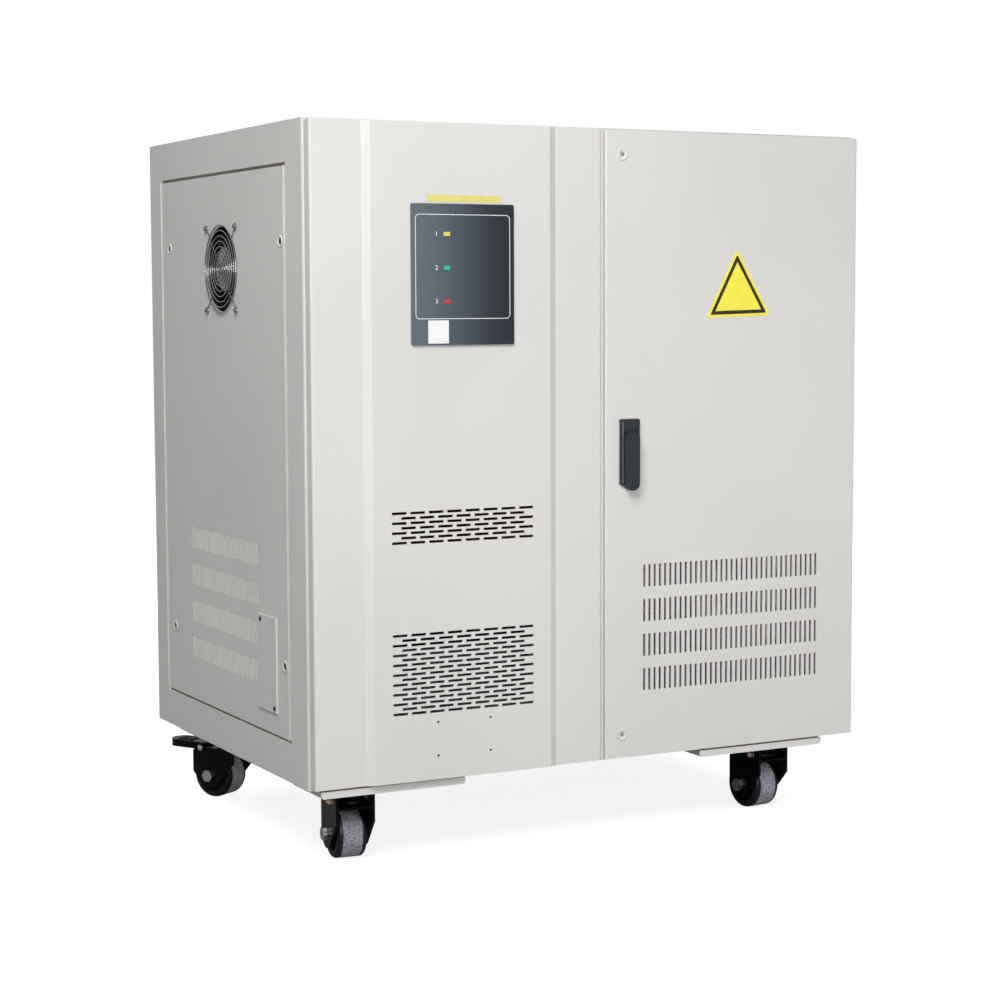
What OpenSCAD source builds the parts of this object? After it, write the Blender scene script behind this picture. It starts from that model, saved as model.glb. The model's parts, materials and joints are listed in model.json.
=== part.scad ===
// Three-phase dry transformer in a sheet-steel cabinet on four swivel casters.
// Front left is a fixed cover with a display, front right is a hinged door with a lock.
// Inside stand a three-limb core with three windings, its clamps and a terminal board.

/* [Cabinet] */
// Width of the body across its side sheets
body_w = 783; // [740:1:860]
// Depth of the body behind the front cover and the door
body_d = 546; // [500:1:640]
// Height of the body
body_h = 795; // [770:1:860]
// Thickness of the folded sheet
sheet_t = 2; // [1.5:0.1:2.5]
// Inset of the front cover and the door from the body's edges
front_inset = 2.5; // [1:0.5:4]
// Width of the folded flange round the front of the body
flange_w = 25; // [22:1:32]
// Outer radius of an upright fold
fold_r = 3; // [2:0.5:4]

/* [Front cover] */
// Width of the fixed front cover
cover_w = 390.5; // [380:0.5:400]
// Depth of the cover's folded edge
cover_d = 16; // [14:0.5:20]
// Distance from the cover's edge to the foot of its raised centre
raise_margin = 65.5; // [55:0.5:70]
// Width of the bevel beside the raised centre
raise_bevel = 10; // [6:0.5:14]
// How far the raised centre stands proud
raise_h = 5; // [3:0.5:8]
// Length of a grille slot
slot_l = 19.5; // [15:0.5:21]
// Height of a grille slot
slot_w = 3.3; // [1.5:0.1:3.5]
// Spacing of the grille slots in a row
slot_pitch = 24.5; // [23:0.5:25]
// Spacing of the grille rows
row_pitch = 5.95; // [5:0.05:7]
// Slots in a long row
slot_count = 8; // [6:1:8]
// Rows in the upper grille
upper_rows = 7; // [3:2:9]
// Height of the upper grille's middle above the cover's foot
upper_grille_z = 308.6; // [280:0.1:340]
// Rows in the lower grille
lower_rows = 17; // [9:2:19]
// Height of the lower grille's middle above the cover's foot
lower_grille_z = 131.4; // [125:0.1:160]
// Radius of the nameplate's four holes
plate_hole_r = 1.6; // [1:0.1:2.5]
// Spacing of the nameplate's holes across
plate_hole_dx = 71; // [50:1:90]
// Spacing of the nameplate's holes up
plate_hole_dz = 41; // [30:1:46]
// Height of the nameplate holes' middle above the cover's foot
plate_hole_z = 49.7; // [40:0.1:52]

/* [Display] */
// Width of the display's face
display_w = 137; // [110:1:160]
// Height of the display's face
display_h = 168; // [140:1:180]
// Thickness of the display's face
display_t = 2.5; // [2:0.5:4]
// Height of the display's middle above the cover's foot
display_z = 610.5; // [570:0.5:640]
// Margin of the face round the display's body
display_rim = 10; // [6:1:16]
// Depth of the display's body behind the cover
display_body_d = 38; // [20:1:60]
// Width of a lamp
lamp_w = 8.5; // [5:0.5:12]
// Height of a lamp
lamp_h = 5; // [3:0.5:7]
// How far a lamp stands proud of the display
lamp_t = 0.8; // [0.5:0.1:2]
// Distance of the lamps from the display's middle, to the left
lamp_x = 22; // [10:1:40]
// Spacing of the three lamps
lamp_pitch = 40.1; // [20:0.1:45]
// Height of the middle lamp above the display's middle
lamp_z = 8.1; // [0:0.1:15]

/* [Door] */
// Gap between the front cover and the door
door_gap = 5; // [4:0.5:8]
// Depth of the door's folded edge
door_d = 10; // [8:0.5:10]
// Number of slots in a band on the door
door_slots = 35; // [20:1:36]
// Spacing of the door's slots
door_slot_pitch = 7.75; // [7:0.05:8]
// Width of a slot on the door
door_slot_w = 3.2; // [1.5:0.1:3.5]
// Height of a slot on the door
door_slot_h = 28.5; // [20:0.5:34]
// Number of slot bands on the door
door_bands = 4; // [2:1:5]
// Spacing of the door's slot bands
door_band_pitch = 44.3; // [38:0.1:48]
// Height of the lowest band's middle above the door's foot
door_band_z = 98.3; // [80:0.1:120]
// Distance of the slots' middle from the door's left edge
door_slot_x = 189.5; // [170:0.5:200]
// Radius of a hinge pin
hinge_pin_r = 3; // [2.5:0.1:3.2]
// Length of a hinge knuckle on the door
knuckle_l = 30; // [20:1:50]
// Distance of the hinges from the ends of the door
hinge_end = 110; // [80:1:160]
// Thickness of a hinge bracket
hinge_t = 4; // [3:0.5:5]

/* [Lock] */
// Width of the lock's base
lock_w = 27.5; // [24:0.5:32]
// Height of the lock's base
lock_h = 82.7; // [75:0.1:95]
// Thickness of the lock's base at its rim
lock_t = 4; // [3:0.5:5]
// Depth of the tray in the lock's base
lock_tray = 1.5; // [0.5:0.1:2]
// Width of the lock's rim beside the tray
lock_rim = 3; // [1.5:0.1:3.5]
// Distance of the lock's middle from the door's left edge
lock_x = 34.6; // [28:0.1:45]
// Height of the lock's foot above the door's foot
lock_z = 348; // [300:1:420]
// Width of the lever
lever_w = 19.4; // [17:0.1:20]
// Length of the lever
lever_l = 74; // [65:1:82]
// Thickness of the lever
lever_t = 7; // [6.5:0.1:9]
// How far the lever's tip reaches below the base
lever_drop = 7; // [3:0.5:10]
// Radius of the lock's turning spindle
spindle_r = 7; // [6:0.1:8]
// Width of the lug that carries the lever
lug_w = 7; // [6:0.5:8]
// Radius of the lever's pivot pin
lever_pin_r = 1.5; // [1.2:0.1:1.8]
// Length of the latch tongue behind the door
tongue_l = 42; // [30:1:50]

/* [Side panels] */
// Distance from the body's front to a side panel
panel_front = 56; // [45:1:70]
// Distance from the body's back to a side panel
panel_back = 50; // [40:1:70]
// Distance from the body's foot to a side panel
panel_foot = 51.5; // [40:0.5:70]
// Distance from the body's top to a side panel
panel_head = 52.5; // [40:0.5:70]
// Gap round a side panel
panel_gap = 4; // [2:0.5:4]
// Width of the lip that a side panel lies on
lip_w = 12; // [8:1:16]
// Depth of a side panel's folded edge
panel_d = 9; // [6:0.5:12]
// Number of slots in a band on a side
side_slots = 30; // [20:1:34]
// Spacing of the side's slots
side_slot_pitch = 8.2; // [7.5:0.1:9]
// Width of a slot on a side
side_slot_w = 2.8; // [1.5:0.1:3.5]
// Height of a slot on a side
side_slot_h = 29.5; // [20:0.5:34]
// Number of slot bands on a side
side_bands = 4; // [2:1:5]
// Spacing of the side's slot bands
side_band_pitch = 49.2; // [42:0.1:52]
// Height of the lowest band's middle above the body's foot
side_band_z = 121.5; // [110:0.5:140]
// Distance of the bands' middle from the body's front
side_band_y = 276; // [260:1:300]
// Width of the cable cover plate on the left panel
cable_plate_w = 62; // [50:1:64]
// Height of the cable cover plate
cable_plate_h = 118; // [90:1:125]
// Distance of the cable cover plate from the side panel's front edge
cable_plate_y = 39; // [20:1:48]
// Height of the cable cover plate's foot above the side panel's foot
cable_plate_z = 26.5; // [15:0.5:40]

/* [Fan] */
// Width of the square fan frame
fan_w = 119; // [110:1:124]
// Depth of the fan frame
fan_d = 38; // [32:1:45]
// Radius of the fan's duct
fan_duct_r = 55; // [52:0.5:56]
// Radius of the opening in the side panel
fan_hole_r = 54; // [50:0.5:56]
// Distance of the fan's middle from the body's front
fan_y = 269.8; // [260:0.1:300]
// Height of the fan's middle above the body's foot
fan_z = 623.6; // [590:0.1:650]
// Radius of the motor's hub
fan_hub_r = 30; // [26:0.5:34]
// Radius of the fan's shaft
fan_shaft_r = 3; // [2:0.1:4]
// Number of blades
blade_count = 7; // [5:1:9]
// Thickness of a blade
blade_t = 1.8; // [1.2:0.1:2.5]
// Gap between the blade tips and the duct
blade_gap = 2; // [1:0.5:4]
// Radius of the guard's wire
wire_r = 0.8; // [0.7:0.1:1.5]
// Radius of the guard's outer ring
guard_r = 55.5; // [54:0.5:60]
// Radius of the guard's smallest ring
guard_core_r = 8; // [6:1:14]
// Number of rings in the guard
guard_rings = 8; // [5:1:9]
// Spacing of the fan's screw holes
fan_screw_pitch = 105; // [100:1:108]

/* [Core and windings] */
// Width of a limb of the core
limb_w = 86; // [70:1:95]
// Spacing of the limbs
limb_pitch = 178; // [172:1:190]
// Height of the core's windows
window_h = 330; // [300:1:360]
// Thickness of the stack of laminations
stack_d = 110; // [90:1:130]
// Gap between a limb and its inner winding
limb_clear = 4; // [2:1:6]
// Thickness of the inner winding
inner_coil_t = 14; // [10:1:15]
// Width of the air duct between the windings
duct_w = 8; // [6:1:9]
// Thickness of the outer winding
outer_coil_t = 16; // [10:1:17]
// Gap between the windings and the yokes
yoke_clear = 12; // [8:1:20]
// Distance of the core's middle from the body's back
core_back = 230; // [200:1:260]
// Height of the rails under the core
rail_h = 45; // [30:1:60]
// Width of a rail
rail_w = 50; // [40:1:60]
// Spacing of the rails
rail_pitch = 320; // [250:1:340]
// Height of a clamp's web
clamp_h = 74; // [60:1:84]
// Thickness of a clamp
clamp_t = 6; // [4:0.5:8]
// Width of a clamp's flange
clamp_flange = 32; // [24:1:36]
// Width of the terminal board
board_w = 420; // [380:1:460]
// Height of the terminal board
board_h = 70; // [60:1:90]
// Thickness of the terminal board
board_t = 12; // [10:1:20]
// Length of the posts behind the terminal board
board_post_l = 30; // [20:1:40]
// Number of terminals
stud_count = 7; // [4:1:8]
// Radius of a terminal stud
stud_r = 5; // [4:0.5:6]
// Length of a terminal stud in front of the board
stud_l = 36; // [28:1:50]

/* [Casters] */
// Length of a pad under the body
pad_l = 191; // [160:1:210]
// Depth of a pad
pad_d = 90; // [84:1:100]
// Height of a pad
pad_h = 8.5; // [7:0.5:11]
// Inset of the left pads from the body's left side
pad_left = 10.5; // [8:0.5:30]
// Inset of the right pads from the body's right side
pad_right = 51; // [20:0.5:60]
// Distance of the front pads from the cabinet's front face
pad_front = 2; // [1:0.5:8]
// Inset of the back pads from the body's back
pad_back = 52; // [30:1:80]
// Distance of the left casters from the body's left side
caster_left = 67.5; // [55:0.5:90]
// Distance of the right casters from the body's right side
caster_right = 112.5; // [100:0.5:150]
// Distance of the front casters from the body's front
caster_front = 32; // [28:1:50]
// Distance of the back casters from the body's back
caster_back = 106; // [85:1:116]
// Height of a caster from the floor to its top plate's face
caster_h = 89.5; // [88:0.5:94]
// Side of a caster's square top plate
caster_plate_w = 50; // [46:1:56]
// Thickness of a caster's top plate
caster_plate_t = 3; // [2.5:0.1:4]
// Diameter of a wheel
wheel_d = 62; // [58:0.5:63]
// Width of a wheel
wheel_w = 38; // [34:0.5:42]
// Radius of the wheel's shoulders
wheel_shoulder = 5; // [4:0.5:8]
// Distance from the swivel axis to the wheel's axle
caster_trail = 20; // [16:0.5:24]
// Thickness of the fork's plates
fork_t = 3.5; // [3:0.1:4]
// Gap between the wheel and the fork
fork_gap = 2.5; // [2:0.1:4]
// Radius of the fork's end round the axle
fork_end_r = 18; // [15:0.5:19]
// Distance from the axle to the back edge of a front fork
fork_back = 20; // [19.5:0.5:23]
// How much further back the fork of a braked caster reaches
brake_reach = 8; // [4:0.5:12]
// Radius of the swivel pin
kingpin_r = 6; // [5:0.1:8]
// Radius of the swivel bearing's rings
race_r = 19; // [16:0.5:19.5]
// Radius of an axle
axle_r = 4; // [3:0.1:5]
// Size of an axle's hexagon across its flats
axle_hex = 15; // [12:0.5:17]
// Length of a brake pedal from its pivot
pedal_l = 67; // [56:1:72]
// Width of a brake pedal
pedal_w = 32; // [26:1:36]
// Thickness of a brake pedal's sheet
pedal_t = 3; // [2:0.1:3.5]
// Height of a brake pedal's skirt
pedal_h = 10; // [7:0.5:11]
// Number of ribs across a brake pedal
pedal_ribs = 4; // [2:1:5]

/* [Clearances] */
// Radial clearance of a running fit
run_clear = 0.05; // [0.02:0.01:0.1]
// Gap between pieces that move past each other
move_gap = 0.5; // [0.3:0.1:1]

/* [Hidden] */
$fn = 64;
eps = 0.01;

// Colours
coat = [0.85, 0.845, 0.82];
slate = [0.16, 0.19, 0.22];
black = [0.06, 0.06, 0.065];
chrome = [0.78, 0.79, 0.8];
zinc = [0.66, 0.68, 0.68];
lamination = [0.3, 0.31, 0.33];
varnish = [0.62, 0.3, 0.13];
insulation = [0.55, 0.16, 0.12];
rubber = [0.24, 0.235, 0.245];

// Places in the cabinet's own frame: x from the left side, y back from the front face, z up from the foot
body_y0 = cover_d;
body_y1 = cover_d + body_d;
pan_z0 = front_inset;
pan_z1 = body_h - front_inset;
pan_h = pan_z1 - pan_z0;
cover_x0 = front_inset;
cover_x1 = cover_x0 + cover_w;
cover_mid = (cover_x0 + cover_x1) / 2;
display_body_w = display_w - 2 * display_rim;
display_body_h = display_h - 2 * display_rim;
door_x0 = cover_x1 + door_gap;
door_x1 = body_w - front_inset;
door_w = door_x1 - door_x0;
body_z = pad_h + caster_h;

// Lock and lever
lock_mid = door_x0 + lock_x;
lock_z0 = pan_z0 + lock_z;
lever_foot = lock_z0 - lever_drop;
lever_head = lever_foot + lever_l;
lever_back_y = -lock_t - move_gap;
lever_front_y = lever_back_y - lever_t;
pivot_y = lever_back_y - lever_t / 2;
pivot_z = lever_head - lever_t / 2;
lug_r = lever_pin_r + 0.8;
boss_r = spindle_r + 4;
boss_l = 9;
lock_nut_t = 3;
tongue_w = 2 * spindle_r + 2;
tongue_y = boss_l + move_gap;

// The part's origin is on the floor under the middle of its outline
guard_rise = 2.6 * wire_r;
origin_x = (body_w - guard_rise - wire_r) / 2;
origin_y = (lever_front_y + body_y1) / 2;

// Hinge
hinge_inset = 7;
hinge_stand = 4;
hinge_arm_gap = 6;
hinge_x = door_x1 - hinge_inset;
hinge_y = sheet_t + hinge_stand;
hinge_z = [pan_z0 + hinge_end, pan_z1 - hinge_end - knuckle_l];
knuckle_r = hinge_y - sheet_t;
hinge_tab_r = knuckle_r - move_gap;
hinge_arm_x = hinge_x - knuckle_r - hinge_arm_gap;
hinge_notch = 3;

// Side panels
panel_y0 = body_y0 + panel_front;
panel_y1 = body_y1 - panel_back;
panel_z0 = panel_foot;
panel_z1 = body_h - panel_head;

// Fan
fan_cy = body_y0 + fan_y;
hub_wall = 2.5;
motor_gap = 1;
motor_l = 20;
shaft_l = 10;
rotor_l = fan_d - motor_l + 8;
blade_r = fan_duct_r - blade_gap;
blade_l = 20;
blade_pitch = 38;
blade_chord = 28;

// Core and windings
core_cx = body_w / 2;
core_cy = body_y1 - core_back;
core_w = 2 * limb_pitch + limb_w;
core_h = window_h + 2 * limb_w;
core_z0 = sheet_t + rail_h;
core_z1 = core_z0 + core_h;
coil_h = window_h - 2 * yoke_clear;
coil_z0 = core_z0 + limb_w + yoke_clear;
inner_0 = limb_clear;
inner_1 = inner_0 + inner_coil_t;
outer_0 = inner_1 + duct_w;
outer_1 = outer_0 + outer_coil_t;
clamp_over = 10;
clamp_l = core_w + 2 * clamp_over;
board_rise = 10;
board_z0 = core_z1 - board_h + board_rise;
board_y1 = core_cy - stack_d / 2 - clamp_t - board_post_l;
board_y0 = board_y1 - board_t;
stud_pitch = board_w / stud_count;

// Casters: place of each swivel axis, and the heading of its wheel
caster_x0 = caster_left;
caster_x1 = body_w - caster_right;
caster_y0 = body_y0 + caster_front;
caster_y1 = body_y1 - caster_back;
CASTERS = [
    [caster_x0, caster_y0, 84],
    [caster_x1, caster_y0, 96],
    [caster_x0, caster_y1, 121],
    [caster_x1, caster_y1, 97]
];
wheel_r = wheel_d / 2;
fork_in = wheel_w / 2 + fork_gap;
fork_out = fork_in + fork_t;
race_h = 8.15;
race_gap = 0.4;
crown_z1 = caster_h - caster_plate_t - 2 * race_h - race_gap;
crown_z0 = crown_z1 - fork_t;
crown_back = 21;
shoulder_gap = 2.5;
shoulder_z = caster_h - caster_plate_t - shoulder_gap;
pin_head_r = kingpin_r + 3;
pin_head_t = 2.5;
axle_head_t = 5.5;
pedal_behind = 14;
pedal_rise = 2.4;
pedal_pivot_u = caster_trail + pedal_behind;
pedal_pivot_z = crown_z0 + pedal_rise;
pedal_pin_r = 2.5;
pedal_barrel_r = 4.6;
pedal_ear_r = 6.5;
pedal_head_r = 4;
pedal_head_t = 2;

// Moves a piece from the cabinet's frame to the part's frame
module place() {
    translate([-origin_x, -origin_y, body_z]) children();
}

// Moves a piece to a caster: x along the trail, z up from the floor
module at_caster(i) {
    translate([CASTERS[i][0] - origin_x, CASTERS[i][1] - origin_y, 0])
        rotate([0, 0, CASTERS[i][2]])
            children();
}

// Stands a drawing upright: its x stays, its y becomes height, and it grows from y0 to y0 + depth
module upright(y0, depth) {
    translate([0, y0 + depth, 0])
        rotate([90, 0, 0])
            linear_extrude(depth)
                children();
}

// Stands a drawing on a side wall: its x runs back along y, its y becomes height, from x0 to x0 + depth
module sideways(x0, depth) {
    translate([x0, 0, 0])
        rotate([90, 0, 90])
            linear_extrude(depth)
                children();
}

// A rectangle about its middle with round corners
module round_rect(w, h, r) {
    square([w - 2 * r, h], center = true);
    square([w, h - 2 * r], center = true);
    for (sx = [-1, 1], sy = [-1, 1])
        translate([sx * (w / 2 - r), sy * (h / 2 - r)])
            circle(r);
}

// Rows of slots, every second row one slot shorter
module staggered_slots(rows) {
    for (row = [0 : rows - 1]) {
        count = slot_count - row % 2;
        for (i = [0 : count - 1])
            translate([(i - (count - 1) / 2) * slot_pitch, (row - (rows - 1) / 2) * row_pitch])
                square([slot_l, slot_w], center = true);
    }
}

// Bands of upright slots, the lowest band about the origin
module slot_bands(slots, pitch, w, h, bands, band_pitch) {
    for (band = [0 : bands - 1], i = [0 : slots - 1])
        translate([(i - (slots - 1) / 2) * pitch, band * band_pitch])
            square([w, h], center = true);
}

module side_slot_bands() {
    slot_bands(side_slots, side_slot_pitch, side_slot_w, side_slot_h, side_bands, side_band_pitch);
}

// What an upright fold takes off the left front corner at (x, y)
module fold_cut(x, y) {
    translate([x, y, -1])
        linear_extrude(body_h + 2)
            difference() {
                translate([-1, -1]) square(fold_r + 1);
                translate([fold_r, fold_r]) circle(fold_r);
            }
}

// The same at both front corners of a piece from x0 to x1
module fold_cuts(x0, x1, y) {
    fold_cut(x0, y);
    translate([x0 + x1, 0, 0]) mirror([1, 0, 0]) fold_cut(x0, y);
}

// Floor of the cabinet with an upturned front flange
module base_tray() {
    color(coat) place() {
        difference() {
            translate([0, body_y0, 0])
                cube([body_w, body_d, sheet_t]);
            fold_cuts(0, body_w, body_y0);
        }
        translate([flange_w, body_y0, sheet_t])
            cube([body_w - 2 * flange_w, sheet_t, flange_w - sheet_t]);
    }
}

// One pad: a bar with the lower corners of its ends rounded
module pad() {
    pad_r = 4;
    upright(0, pad_d)
        intersection() {
            translate([pad_l / 2, 0])
                round_rect(pad_l, 2 * pad_h, pad_r);
            translate([0, -pad_h])
                square([pad_l, pad_h]);
        }
}

module caster_pads() {
    color(coat) place()
        for (x = [pad_left, body_w - pad_right - pad_l], y = [pad_front, body_y1 - pad_back - pad_d])
            translate([x, y, 0]) pad();
}

// Square top plate with the upper bearing ring and the swivel pin with its riveted head
module caster_top() {
    translate([-caster_plate_w / 2, -caster_plate_w / 2, caster_h - caster_plate_t])
        cube([caster_plate_w, caster_plate_w, caster_plate_t]);
    translate([0, 0, caster_h - caster_plate_t - race_h]) race();
    translate([0, 0, crown_z0 - race_gap - pin_head_t]) {
        cylinder(h = pin_head_t, r = pin_head_r);
        cylinder(h = caster_h - crown_z0, r = kingpin_r);
    }
}

module caster_top_plates() {
    color(black)
        for (i = [0 : 3])
            translate([CASTERS[i][0] - origin_x, CASTERS[i][1] - origin_y, 0])
                caster_top();
}

// A rectangle of the side panel's size, grown on every side
module panel_outline(grow) {
    translate([panel_y0 - grow, panel_z0 - grow])
        square([panel_y1 - panel_y0 + 2 * grow, panel_z1 - panel_z0 + 2 * grow]);
}

// Side sheet with the panel's opening folded in to a lip behind the panel, and the front flange
module side_frame() {
    difference() {
        union() {
            sideways(0, sheet_t)
                translate([body_y0, sheet_t])
                    square([body_d - sheet_t, body_h - 2 * sheet_t]);
            sideways(sheet_t, panel_d) panel_outline(panel_gap + sheet_t);
            translate([0, body_y0, sheet_t])
                cube([flange_w, sheet_t, body_h - 2 * sheet_t]);
        }
        sideways(-1, panel_d + 1) panel_outline(panel_gap);
        sideways(-1, panel_d + 2 * sheet_t) panel_outline(-lip_w);
        fold_cut(0, body_y0);
    }
}

module left_side_frame() {
    color(coat) place() side_frame();
}

module right_side_frame() {
    color(coat) place()
        translate([body_w, 0, 0]) mirror([1, 0, 0]) side_frame();
}

// Shallow pan with its face flush in the side sheet
module side_panel() {
    difference() {
        sideways(0, panel_d) panel_outline(0);
        sideways(sheet_t, panel_d) panel_outline(-sheet_t);
        sideways(-1, panel_d)
            translate([body_y0 + side_band_y, side_band_z]) side_slot_bands();
    }
}

module left_side_panel() {
    color(coat) place()
        difference() {
            side_panel();
            sideways(-1, panel_d)
                translate([fan_cy, fan_z]) circle(fan_hole_r);
        }
}

module right_side_panel() {
    color(coat) place()
        translate([body_w, 0, 0]) mirror([1, 0, 0]) side_panel();
}

// Back sheet with two groups of slot bands
module back_panel() {
    color(coat) place()
        upright(body_y1 - sheet_t, sheet_t)
            difference() {
                translate([0, sheet_t])
                    square([body_w, body_h - 2 * sheet_t]);
                for (x = [body_w / 4, 3 * body_w / 4])
                    translate([x, side_band_z]) side_slot_bands();
            }
}

// Roof sheet with a front flange turned down
module top_cover() {
    color(coat) place() {
        difference() {
            translate([0, body_y0, body_h - sheet_t])
                cube([body_w, body_d, sheet_t]);
            fold_cuts(0, body_w, body_y0);
        }
        translate([flange_w, body_y0, body_h - flange_w])
            cube([body_w - 2 * flange_w, sheet_t, flange_w - sheet_t]);
    }
}

// Upright channel between the cover and the door
module centre_post() {
    post_x0 = cover_x1 + door_gap / 2 - flange_w / 2;
    post_lip = 22;
    color(coat) place()
        translate([post_x0, body_y0, flange_w])
            linear_extrude(body_h - 2 * flange_w)
                difference() {
                    square([flange_w, post_lip]);
                    translate([sheet_t, sheet_t])
                        square([flange_w - 2 * sheet_t, post_lip]);
                }
}

// Plan of the cover: folded edges and a raised centre, grown inwards by a wall
module cover_plan(wall) {
    corner = wall * tan(atan2(raise_h, raise_bevel) / 2);
    foot_l = cover_x0 + raise_margin;
    foot_r = cover_x1 - raise_margin;
    polygon([
        [cover_x0 + wall, cover_d + (wall > 0 ? 1 : 0)],
        [cover_x0 + wall, wall],
        [foot_l + corner, wall],
        [foot_l + raise_bevel + corner, wall - raise_h],
        [foot_r - raise_bevel - corner, wall - raise_h],
        [foot_r - corner, wall],
        [cover_x1 - wall, wall],
        [cover_x1 - wall, cover_d + (wall > 0 ? 1 : 0)]
    ]);
}

module cover_openings() {
    translate([cover_mid, pan_z0 + upper_grille_z]) staggered_slots(upper_rows);
    translate([cover_mid, pan_z0 + lower_grille_z]) staggered_slots(lower_rows);
    for (sx = [-1, 1], sz = [-1, 1])
        translate([cover_mid + sx * plate_hole_dx / 2, pan_z0 + plate_hole_z + sz * plate_hole_dz / 2])
            circle(plate_hole_r);
    translate([cover_mid, pan_z0 + display_z])
        square([display_body_w + move_gap, display_body_h + move_gap], center = true);
}

module front_cover() {
    face_x0 = cover_x0 + raise_margin + raise_bevel + sheet_t;
    face_w = cover_w - 2 * (raise_margin + raise_bevel + sheet_t);
    face_z0 = pan_z0 + 2 * sheet_t;
    face_h = pan_h - 4 * sheet_t;
    color(coat) place() {
        difference() {
            translate([0, 0, pan_z0])
                linear_extrude(pan_h) cover_plan(0);
            translate([0, 0, pan_z0 + sheet_t])
                linear_extrude(pan_h - 2 * sheet_t) cover_plan(sheet_t);
            translate([face_x0, -2 * raise_h, face_z0])
                cube([face_w, 2 * raise_h, face_h]);
            fold_cuts(cover_x0, cover_x1, 0);
        }
        upright(-raise_h, sheet_t)
            difference() {
                translate([face_x0, face_z0]) square([face_w, face_h]);
                cover_openings();
            }
    }
}

// Dark face plate with the instrument's body behind it
module display_panel() {
    color(slate) place()
        translate([cover_mid, 0, pan_z0 + display_z]) {
            upright(-raise_h - display_t, display_t)
                round_rect(display_w, display_h, 2);
            upright(-raise_h, display_body_d)
                square([display_body_w, display_body_h], center = true);
        }
}

module indicator_lamps() {
    color([0.85, 0.65, 0.1]) place()
        translate([cover_mid - lamp_x, 0, pan_z0 + display_z + lamp_z])
            for (i = [-1 : 1])
                translate([0, 0, i * lamp_pitch])
                    upright(-raise_h - display_t - lamp_t, lamp_t)
                        square([lamp_w, lamp_h], center = true);
}

module cable_cover_plate() {
    color(coat) place()
        sideways(-sheet_t, sheet_t)
            translate([panel_y0 + cable_plate_y, panel_z0 + cable_plate_z])
                square([cable_plate_w, cable_plate_h]);
}

// Turns a piece drawn about +z to the fan's place, with z pointing into the cabinet
module at_fan(depth) {
    translate([sheet_t + depth, fan_cy, fan_z])
        rotate([0, 90, 0])
            children();
}

// Square frame with a round duct, a motor on four arms and its shaft
module fan_housing() {
    arm_w = 7;
    arm_t = 5;
    color(black) place() at_fan(0) {
        linear_extrude(fan_d)
            difference() {
                round_rect(fan_w, fan_w, 6);
                circle(fan_duct_r);
            }
        for (a = [45 : 90 : 315])
            rotate([0, 0, a])
                translate([fan_hub_r - 4, -arm_w / 2, fan_d - arm_t])
                    cube([fan_duct_r - fan_hub_r + 6, arm_w, arm_t]);
        translate([0, 0, fan_d - arm_t])
            cylinder(h = arm_t, r = fan_hub_r);
        translate([0, 0, fan_d - motor_l])
            cylinder(h = motor_l, r = fan_hub_r - hub_wall - motor_gap);
        translate([0, 0, fan_d - motor_l - shaft_l])
            cylinder(h = shaft_l + eps, r = fan_shaft_r);
    }
}

// Concentric wire rings on two crossed wires that end in screw eyes
module fan_guard() {
    eye_r = 3;
    reach = fan_screw_pitch / 2 * sqrt(2);
    ring_step = (guard_r - guard_core_r) / (guard_rings - 1);
    color(chrome) place() at_fan(-sheet_t) {
        for (i = [0 : guard_rings - 1])
            translate([0, 0, -guard_rise])
                rotate_extrude()
                    translate([guard_core_r + i * ring_step, 0])
                        circle(wire_r, $fn = 16);
        for (a = [45 : 90 : 135])
            rotate([0, 0, a])
                translate([eye_r - reach, 0, -wire_r])
                    rotate([0, 90, 0])
                        cylinder(h = 2 * (reach - eye_r), r = wire_r);
        for (a = [45 : 90 : 315])
            rotate([0, 0, a])
                translate([reach, 0, -wire_r])
                    rotate_extrude()
                        translate([eye_r, 0])
                            circle(wire_r, $fn = 16);
    }
}

// Cup-shaped hub on the shaft with pitched blades
module fan_rotor() {
    inset = 2;
    cup_l = fan_d - motor_l - motor_gap - inset;
    color(black) place() at_fan(inset) {
        difference() {
            cylinder(h = rotor_l, r = fan_hub_r);
            translate([0, 0, cup_l])
                cylinder(h = rotor_l, r = fan_hub_r - hub_wall);
            translate([0, 0, 2])
                cylinder(h = rotor_l, r = fan_shaft_r + run_clear);
        }
        intersection() {
            cylinder(h = rotor_l, r = blade_r);
            for (i = [0 : blade_count - 1])
                rotate([0, 0, i * 360 / blade_count])
                    translate([fan_hub_r - 1, 0, blade_l / 2])
                        rotate([blade_pitch, 0, 0])
                            translate([0, -blade_chord / 2, -blade_t / 2])
                                cube([blade_r - fan_hub_r + 1, blade_chord, blade_t]);
        }
    }
}

// Three limbs and two yokes of stacked laminations
module core() {
    color(lamination) place()
        upright(core_cy - stack_d / 2, stack_d)
            translate([core_cx, core_z0])
                difference() {
                    translate([-core_w / 2, 0]) square([core_w, core_h]);
                    for (s = [-1, 1])
                        translate([s * limb_pitch / 2, core_h / 2])
                            square([limb_pitch - limb_w, window_h], center = true);
                }
}

// Plan of one winding's shell between two distances from the limb
module winding_plan(near, far) {
    difference() {
        round_rect(limb_w + 2 * far, stack_d + 2 * far, far + 2);
        round_rect(limb_w + 2 * near, stack_d + 2 * near, near + 2);
    }
}

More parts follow.
